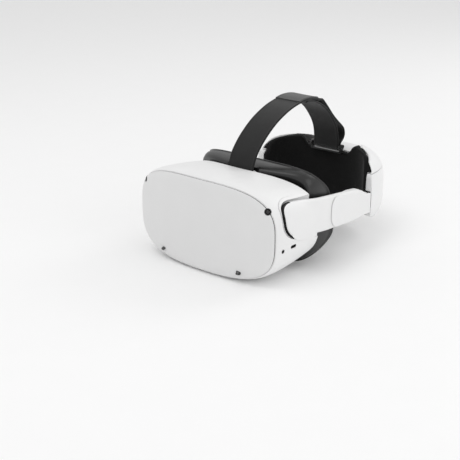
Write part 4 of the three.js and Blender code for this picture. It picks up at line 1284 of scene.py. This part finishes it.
def make_tongues():
    finish_pair(
        tongue("tongue", 0, TONGUE["end_y"]), "strap_tongue_fine", "strap_arms", "black_plastic",
        "strap_tongue",
    )


# ---------------------------------------------------------------- rear cradle


def cradle_scale(z):
    """How much of its full size the cradle's plan has at a height."""
    height = z - CRADLE["centre_z"]
    if height > 0:
        return math.sqrt(max(0.05, 1 - (height / 56) ** 4))
    return math.sqrt(1 - (height / 46) ** 4)


def cradle_plan(half_width, reach, count=360):
    """Points of a plan outline at even angles, as angle-wise radii can then be compared."""
    angle = np.linspace(0, 2 * math.pi, count, endpoint=False)
    c, s = np.abs(np.cos(angle)), np.abs(np.sin(angle))
    n = CRADLE["exponent"]
    radius = ((c / half_width) ** n + (s / reach) ** n) ** (-1 / n)
    return angle, radius


def cradle_dome(name, inset, z_from, z_to, least=2.0, levels=40):
    """The cradle's outer form: a dome, but never thinner than a wall outside the pad."""
    rings = []
    for z in np.linspace(z_from, z_to, levels):
        scale = cradle_scale(z)
        angle, dome = cradle_plan(CRADLE["half_width"] * scale - inset, CRADLE["reach"] * scale - inset)
        _, pad = cradle_plan(
            CRADLE["pad_half_width"] + least - inset, CRADLE["pad_reach"] + least - inset
        )
        radius = np.maximum(dome, pad)
        rings.append(np.column_stack([
            radius * np.cos(angle), CRADLE["centre_y"] + radius * np.sin(angle), np.full(len(angle), z),
        ]))
    return loft(name, rings)


def pad_prism(name, offset, z_from, z_to):
    angle, radius = cradle_plan(CRADLE["pad_half_width"] + offset, CRADLE["pad_reach"] + offset)
    outline = np.column_stack([radius * np.cos(angle), CRADLE["centre_y"] + radius * np.sin(angle)])
    return prism(name, "z", outline, z_from, z_to)


def cradle_side(name, back, drop):
    """The cradle seen from the side: a rounded lower corner, a straight front, a rising top edge."""
    edge = spline([
        (CRADLE["front_y"] + back, 70), (CRADLE["front_y"] + 0.6 + back, 74.5), (171.5 + back, 79),
        (173.6 + back, 84), (177 + back, 90.4 - drop), (186, 95.2 - drop), (198, 98.5 - drop),
    ], 40)
    front = CRADLE["front_y"] + back
    under = spline([
        (front + 34, CRADLE["bottom_z"] - 4), (front + 16, 24), (front + 7, 27.4), (front + 2, 32),
        (front, 39),
    ], 24)
    outline = np.vstack([under, edge, [(BEHIND, 98.5 - drop), (BEHIND, CRADLE["bottom_z"] - 4)]])
    return prism(name, "x", outline, -95, 95)


def cradle_notch(name, drop):
    """The dip in the middle of the top edge, where the strap's buckle stands."""
    floor = 89 - drop
    left = spline([(-44, 99.4), (-41, 99), (-36, 96), (-31, 90.6), (-28, floor), (-22, floor)], 24)
    right = left[::-1] * np.array([-1, 1])
    outline = np.vstack([left, right, [(44, 120), (-44, 120)]])
    return prism(name, "y", outline, 150, BEHIND)


def make_cradle():
    top, bottom, wall = CRADLE["top_z"], CRADLE["bottom_z"], CRADLE["wall"]
    axis, knob_r = (0, FIT["axis_z"]), FIT["knob_r"]
    whole = keep(cradle_dome("cradle", 0, bottom, top), cradle_side("side", 0, 0))
    lip, lip_back = LIP["thick"] + GAP, LIP["back"] + GAP
    lip_space = cut(
        keep(cradle_dome("lip_space", LIP["edge"], LIP["from_z"], top + 2, 2.0 - LIP["edge"]), side_box(top)),
        cradle_side("lip_side", lip_back, lip),
    )
    cut(whole, lip_space)
    cut(whole, pad_prism("pad_space", 0, 10, 110), cradle_notch("notch", 0))
    inside = cradle_dome("inside", wall, bottom + wall, top - wall, 0.5)
    keep(inside, cradle_side("inside_side", wall, wall))
    cut(inside, cradle_notch("inside_notch", wall))
    cut(whole, inside)
    bay_floor = keep(
        cylinder("bay_floor", "y", BAY["floor_y"] - BAY["floor"], BEHIND, axis, knob_r + BAY["rim"], 96),
        cradle_dome("bay_limit", 0.02, bottom, top),
    )
    join(whole, bay_floor)
    levels = (TONGUE["z"] - MOUTH["half_height"], TONGUE["z"] + MOUTH["half_height"])
    low, high = zip(MOUTH["x"], MOUTH["y"], levels)
    mouth = box_at("mouth", low, high)
    cut(
        whole, cylinder("bay", "y", BAY["floor_y"], BEHIND, axis, knob_r + BAY["clearance"], 96),
        cylinder("shaft_hole", "y", 225, BEHIND, axis, 3.3, 32), mouth, mirrored(mouth, "mouth_right"),
    )
    parting = CRADLE["parting_z"]
    upper = keep(
        copied(whole, "cradle_upper_shell_fine"),
        box_at("upper_half", (-100, 140, parting + 0.3), (100, 270, 130)),
    )
    lower = keep(whole, box_at("lower_half", (-100, 140, 0), (100, 270, parting - 0.3)))
    lower.name = "cradle_lower_shell_fine"
    for shell, node in ((upper, "cradle_upper_shell"), (lower, "cradle_lower_shell")):
        soften(shell, 0.8, 3)
        finish_piece(shell, "rear_cradle", "white_plastic", [node])


def side_box(top):
    return box_at("side_box", (-100, CRADLE["front_y"] - 2, LIP["from_z"]), (100, 270, top + 3))


def make_pad():
    """The soft lining: a thin padded band inside the cradle, turned out over the upper shell's rim."""
    block = pad_prism("cradle_pad_fine", -0.6, CRADLE["bottom_z"] + 2, 98.5)
    cut(block, pad_prism("pad_hollow", -4.4, 10, 110))
    edge = LIP["edge"] + GAP
    lip = cradle_dome("lip", edge, LIP["from_z"] + GAP, 98.6, 2.0 - edge)
    cut(lip, pad_prism("lip_hollow", -4.4, 10, 110), cradle_side("under_lip", LIP["back"], LIP["thick"]))
    join(block, lip)
    cut(block, cradle_notch("pad_notch", 0.8))
    keep(block, cradle_side("pad_side", 0.3, 0.3))
    cushion(block, 1.3, 0.5)
    limit = LIP["edge"] + 0.1
    keep(block, cradle_dome("pad_limit", limit, CRADLE["bottom_z"], CRADLE["top_z"], 2.0 - limit))
    finish_piece(block, "rear_cradle", "foam", ["cradle_pad"], angle=180)


# ---------------------------------------------------------------- fit wheel


def make_fit_wheel():
    """The knob with its scalloped grip, its shaft and the pinion between the two racks."""
    count = 432
    angle = np.linspace(0, 2 * math.pi, count, endpoint=False)
    scallop = 0.5 - 0.5 * np.cos(FIT["scallops"] * angle)
    tooth = smooth(-0.35, 0.35, np.cos(FIT["teeth"] * angle))
    gear_root, gear_tip = FIT["pitch_r"] - 0.95, FIT["pitch_r"] + 0.5
    r, low, high = FIT["knob_r"], FIT["knob_y"], KNOB_HIGH[1]
    gear_y, gear_end = FIT["gear_y"], FIT["gear_y"] + FIT["gear_width"]
    rings = [(1.5, 0, 231), (1.5, 0, 219.8), (3, 0, 219.8), (3, 0, gear_y), ("gear", 0, gear_y)]
    rings += [("gear", 0, gear_end), (3, 0, gear_end), (3, 0, low), (r - 2.4, 0, low)]
    rings += [(r - 1.0, 0.4, low + 0.15), (r - 0.2, 0.9, low + 0.9), (r, 1.1, low + 2)]
    rings += [(r, 1.1, high - 3), (r - 0.15, 1.0, high - 1.6), (r - 0.9, 0.6, high - 0.5), (r - 2.2, 0, high)]
    rings += [(r - 3.4, 0, high), (r - 4.0, 0, high - 0.5), (r - 4.4, 0, high - 1.6), (r - 6, 0, high - 2)]
    rings += [(8, 0, high - 2.1), (4, 0, high - 2.0)]
    stack = []
    for radius, depth, y in rings:
        if radius == "gear":
            radii = gear_root + (gear_tip - gear_root) * tooth
        else:
            radii = radius - depth * scallop
        stack.append(np.column_stack([
            radii * np.cos(angle), np.full(count, float(y)), FIT["axis_z"] + radii * np.sin(angle),
        ]))
    finish_piece(loft("fit_wheel_fine", stack), "fit_wheel", "black_plastic", ["fit_wheel"], angle=40)


# ---------------------------------------------------------------- straps


def band(name, path, width, thick, end_radius=0.0, count=150):
    """Webbing along a path in Y and Z: a flat band with rounded edges and a low hem each side.

    Its "lay" attribute holds each point's distance along and across it, in millimetres.
    """
    centre = spline(path, count)
    tangent = np.gradient(centre, axis=0)
    tangent /= np.linalg.norm(tangent, axis=1, keepdims=True)
    normal = np.stack([-tangent[:, 1], tangent[:, 0]], axis=1)
    length = run_lengths(centre)
    u = np.linspace(-1, 1, 25)
    u = np.sign(u) * (1 - (1 - np.abs(u)) ** 1.6)
    rings, lay = [], []
    for k in range(count):
        left = length[-1] - length[k]
        narrow = 1.0
        if end_radius:
            narrow = math.sqrt(max(0.0025, 1 - clamp01(1 - left / end_radius) ** 2))
        half = width / 2 * narrow
        x = u * half
        from_edge = half - np.abs(x)
        round_edge = thick / 2 * np.sqrt(clamp01(1 - (1 - clamp01(from_edge / (thick / 2))) ** 2))
        hem = 0.22 * smooth(0.3, 0.9, from_edge) * (1 - smooth(2.0, 2.7, from_edge))
        height = np.maximum(round_edge + hem - 0.1, 0.04)
        upper = centre[k] + normal[k] * height[:, None]
        lower = centre[k] - normal[k] * height[:, None]
        rings.append(np.vstack([
            np.column_stack([x, upper]), np.column_stack([x, lower])[::-1],
        ]))
        lay += [(length[k], v, 0.0) for v in np.concatenate([x, x[::-1]])]
    obj = loft(name, rings)
    lay += [(0.0, 0.0, 0.0), (length[-1], 0.0, 0.0)]
    store_lay(obj, lay)
    return obj


def store_lay(obj, lay):
    """Keeps the webbing's own coordinates on the mesh for its material."""
    attribute = obj.data.attributes.new("lay", "FLOAT_VECTOR", "POINT")
    attribute.data.foreach_set("vector", np.array(lay, np.float32).ravel())


FRONT_STRAP = [
    (40.6, 86), (41.4, 96), (43.6, 104), (48.4, 113.6), (60.4, 127.2), (78.6, 141.2), (99, 151.2),
    (118, 156.6), (134, 158.4), (148, 157.2), (160, 154.4),
]
REAR_STRAP = [
    (132, 156.4), (146, 154.6), (159, 149), (172, 139.8), (183.4, 126.8), (190, 115.4), (192.6, 104),
    (192.8, 97), (192.6, 93), (194.6, 90.9), (196.8, 93), (198.2, 97.6), (202.6, 101.5), (204.9, 107),
    (203.2, 113.6), (198.6, 118.4), (190, 125.4), (181, 133.6), (170, 145.4), (162, 153.4),
    (158.8, 155.0), (150, 155.7),
]
TOP_TAB = [(119, 158.4), (128, 160), (138, 160.2), (147, 159.2), (155, 157.2), (162, 154.8)]


def make_straps():
    front = band("front_top_strap_fine", FRONT_STRAP, STRAP["width"], STRAP["thick"])
    rear = band("rear_top_strap_fine", REAR_STRAP, STRAP["width"], STRAP["thick"], count=330)
    tab = band("top_strap_tab", TOP_TAB, STRAP["width"] - 1, 1.3, end_radius=15)
    for obj, material in ((front, "strap_fabric"), (rear, "strap_fabric"), (tab, "strap_tab")):
        finish_piece(obj, None, material, angle=60)
    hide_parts("front_top_strap")
    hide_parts("rear_top_strap")
    for obj in (front, tab):
        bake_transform(obj)
    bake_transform(rear)


BUCKLE = {
    "bar": (194.6, 93.6),
    "bar_r": 1.1,
    "cheek_x": (18.6, 21.6),
    "foot_y": (192.4, 196.8),
    "foot_z": (86.2, 93),
    "sole_top": 88.2,
}


def make_buckle():
    """A slider: a round bar that the strap turns round, held between two cheeks on a low foot."""
    outside = BUCKLE["cheek_x"][1]
    front, rear = BUCKLE["foot_y"]
    bottom, top = BUCKLE["foot_z"]
    bar = cylinder("strap_buckle_fine", "x", -20.5, 20.5, BUCKLE["bar"], BUCKLE["bar_r"], 40)
    for side in (1, -1):
        low, high = sorted(side * x for x in BUCKLE["cheek_x"])
        cheek = prism("cheek", "x", pill(*BUCKLE["bar"], 9.0, 5.6), low, high)
        join(bar, cheek, box_at("foot", (low, front, bottom), (high, rear, top)))
    join(bar, box_at("sole", (-outside, front, bottom), (outside, rear, BUCKLE["sole_top"])))
    soften(bar, 0.35, 3)
    finish_piece(bar, "rear_cradle", "satin_black", ["strap_buckle"])


# ---------------------------------------------------------------- CAD nodes that stay

KEPT = {
    "circuit_board": ["main_board"],
    "battery_wrap": ["battery_cell"],
    "aluminium": ["heat_sink"],
    "display_glass": ["display_panel"],
    "camera_glass": ["wear_sensor"],
    "steel": [
        "processor_shield", "lens_rail_upper", "lens_rail_lower", "strap_anchor", "fit_wheel_screw",
        *(f"{side}_bezel_screw_{level}" for side in ("left", "right") for level in ("upper", "lower")),
    ],
    "black_plastic": [
        "display_bracket", "fan_housing", "fan_rotor", "cradle_inner_frame", "left_rack", "right_rack",
        "gear_case",
    ],
}


def dress_kept_nodes():
    """The working parts inside keep their CAD shape, with softened edges and real materials."""
    for name, material in [(name, material) for material, names in KEPT.items() for name in names]:
        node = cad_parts[name]
        dress(node, material)
        bevel = node.modifiers.new("soft_edges", "BEVEL")
        bevel.width = 0.2 * MM
        bevel.segments = 2
        bevel.limit_method = "ANGLE"
        bevel.angle_limit = math.radians(40)


# ---------------------------------------------------------------- stage

VIEW = {
    "azimuth": 41.452,
    "elevation": 19.552,
    "roll": 0.233,
    "target": (-20.39, 48.0, 21.46),
    "distance": 1124.08,
    "focal_share": 2.2253043,
    "sensor": 36.0,
}


def make_camera():
    azimuth, elevation = math.radians(VIEW["azimuth"]), math.radians(VIEW["elevation"])
    back = Vector((
        math.sin(azimuth) * math.cos(elevation), -math.cos(azimuth) * math.cos(elevation),
        math.sin(elevation),
    ))
    data = bpy.data.cameras.new("view")
    data.sensor_width = VIEW["sensor"]
    data.lens = VIEW["sensor"] * VIEW["focal_share"]
    data.clip_end = 20
    camera = bpy.data.objects.new("view", data)
    turn = back.to_track_quat("Z", "Y").to_matrix().to_4x4()
    place = Matrix.Translation((Vector(VIEW["target"]) + back * VIEW["distance"]) * MM)
    camera.matrix_world = place @ turn @ Matrix.Rotation(math.radians(VIEW["roll"]), 4, "Z")
    bpy.context.scene.collection.objects.link(camera)
    bpy.context.scene.camera = camera


def make_light(name, place, aim, size, power):
    data = bpy.data.lights.new(name, "AREA")
    data.shape = "DISK"
    data.size = size
    data.energy = power
    lamp = bpy.data.objects.new(name, data)
    direction = Vector(aim) - Vector(place)
    lamp.matrix_world = Matrix.Translation(place) @ direction.to_track_quat("-Z", "Y").to_matrix().to_4x4()
    bpy.context.scene.collection.objects.link(lamp)


def make_stage():
    floor = box_at("floor", (-6000, -6000, -12), (6000, 6000, 0))
    floor.data.materials.append(moulded("pale_floor", 250, 248, 0.7, 0.01))
    world = bpy.data.worlds.new("studio")
    world.use_nodes = True
    world.node_tree.nodes["Background"].inputs["Color"].default_value = (1, 1, 1, 1)
    world.node_tree.nodes["Background"].inputs["Strength"].default_value = 0.76
    bpy.context.scene.world = world
    make_light("key", (-0.3, -0.6, 1.5), (0, 0.05, 0.05), 1.2, 5)
    make_light("side", (1.5, 0.1, 0.7), (0, 0.08, 0.06), 1.0, 3)
    make_light("rear", (0.4, 1.4, 1.0), (0, 0.1, 0.08), 1.0, 3.6)
    bpy.context.scene.view_settings.view_transform = "Standard"


make_visor_shell()
make_front_cover()
make_cameras()
make_ports()
make_optics()
make_bezel()
make_face_frame()
make_face_cushion()
make_nose_flap()
make_arms()
make_sleeves()
make_tongues()
make_cradle()
make_pad()
make_fit_wheel()
make_straps()
make_buckle()
dress_kept_nodes()
make_stage()
make_camera()
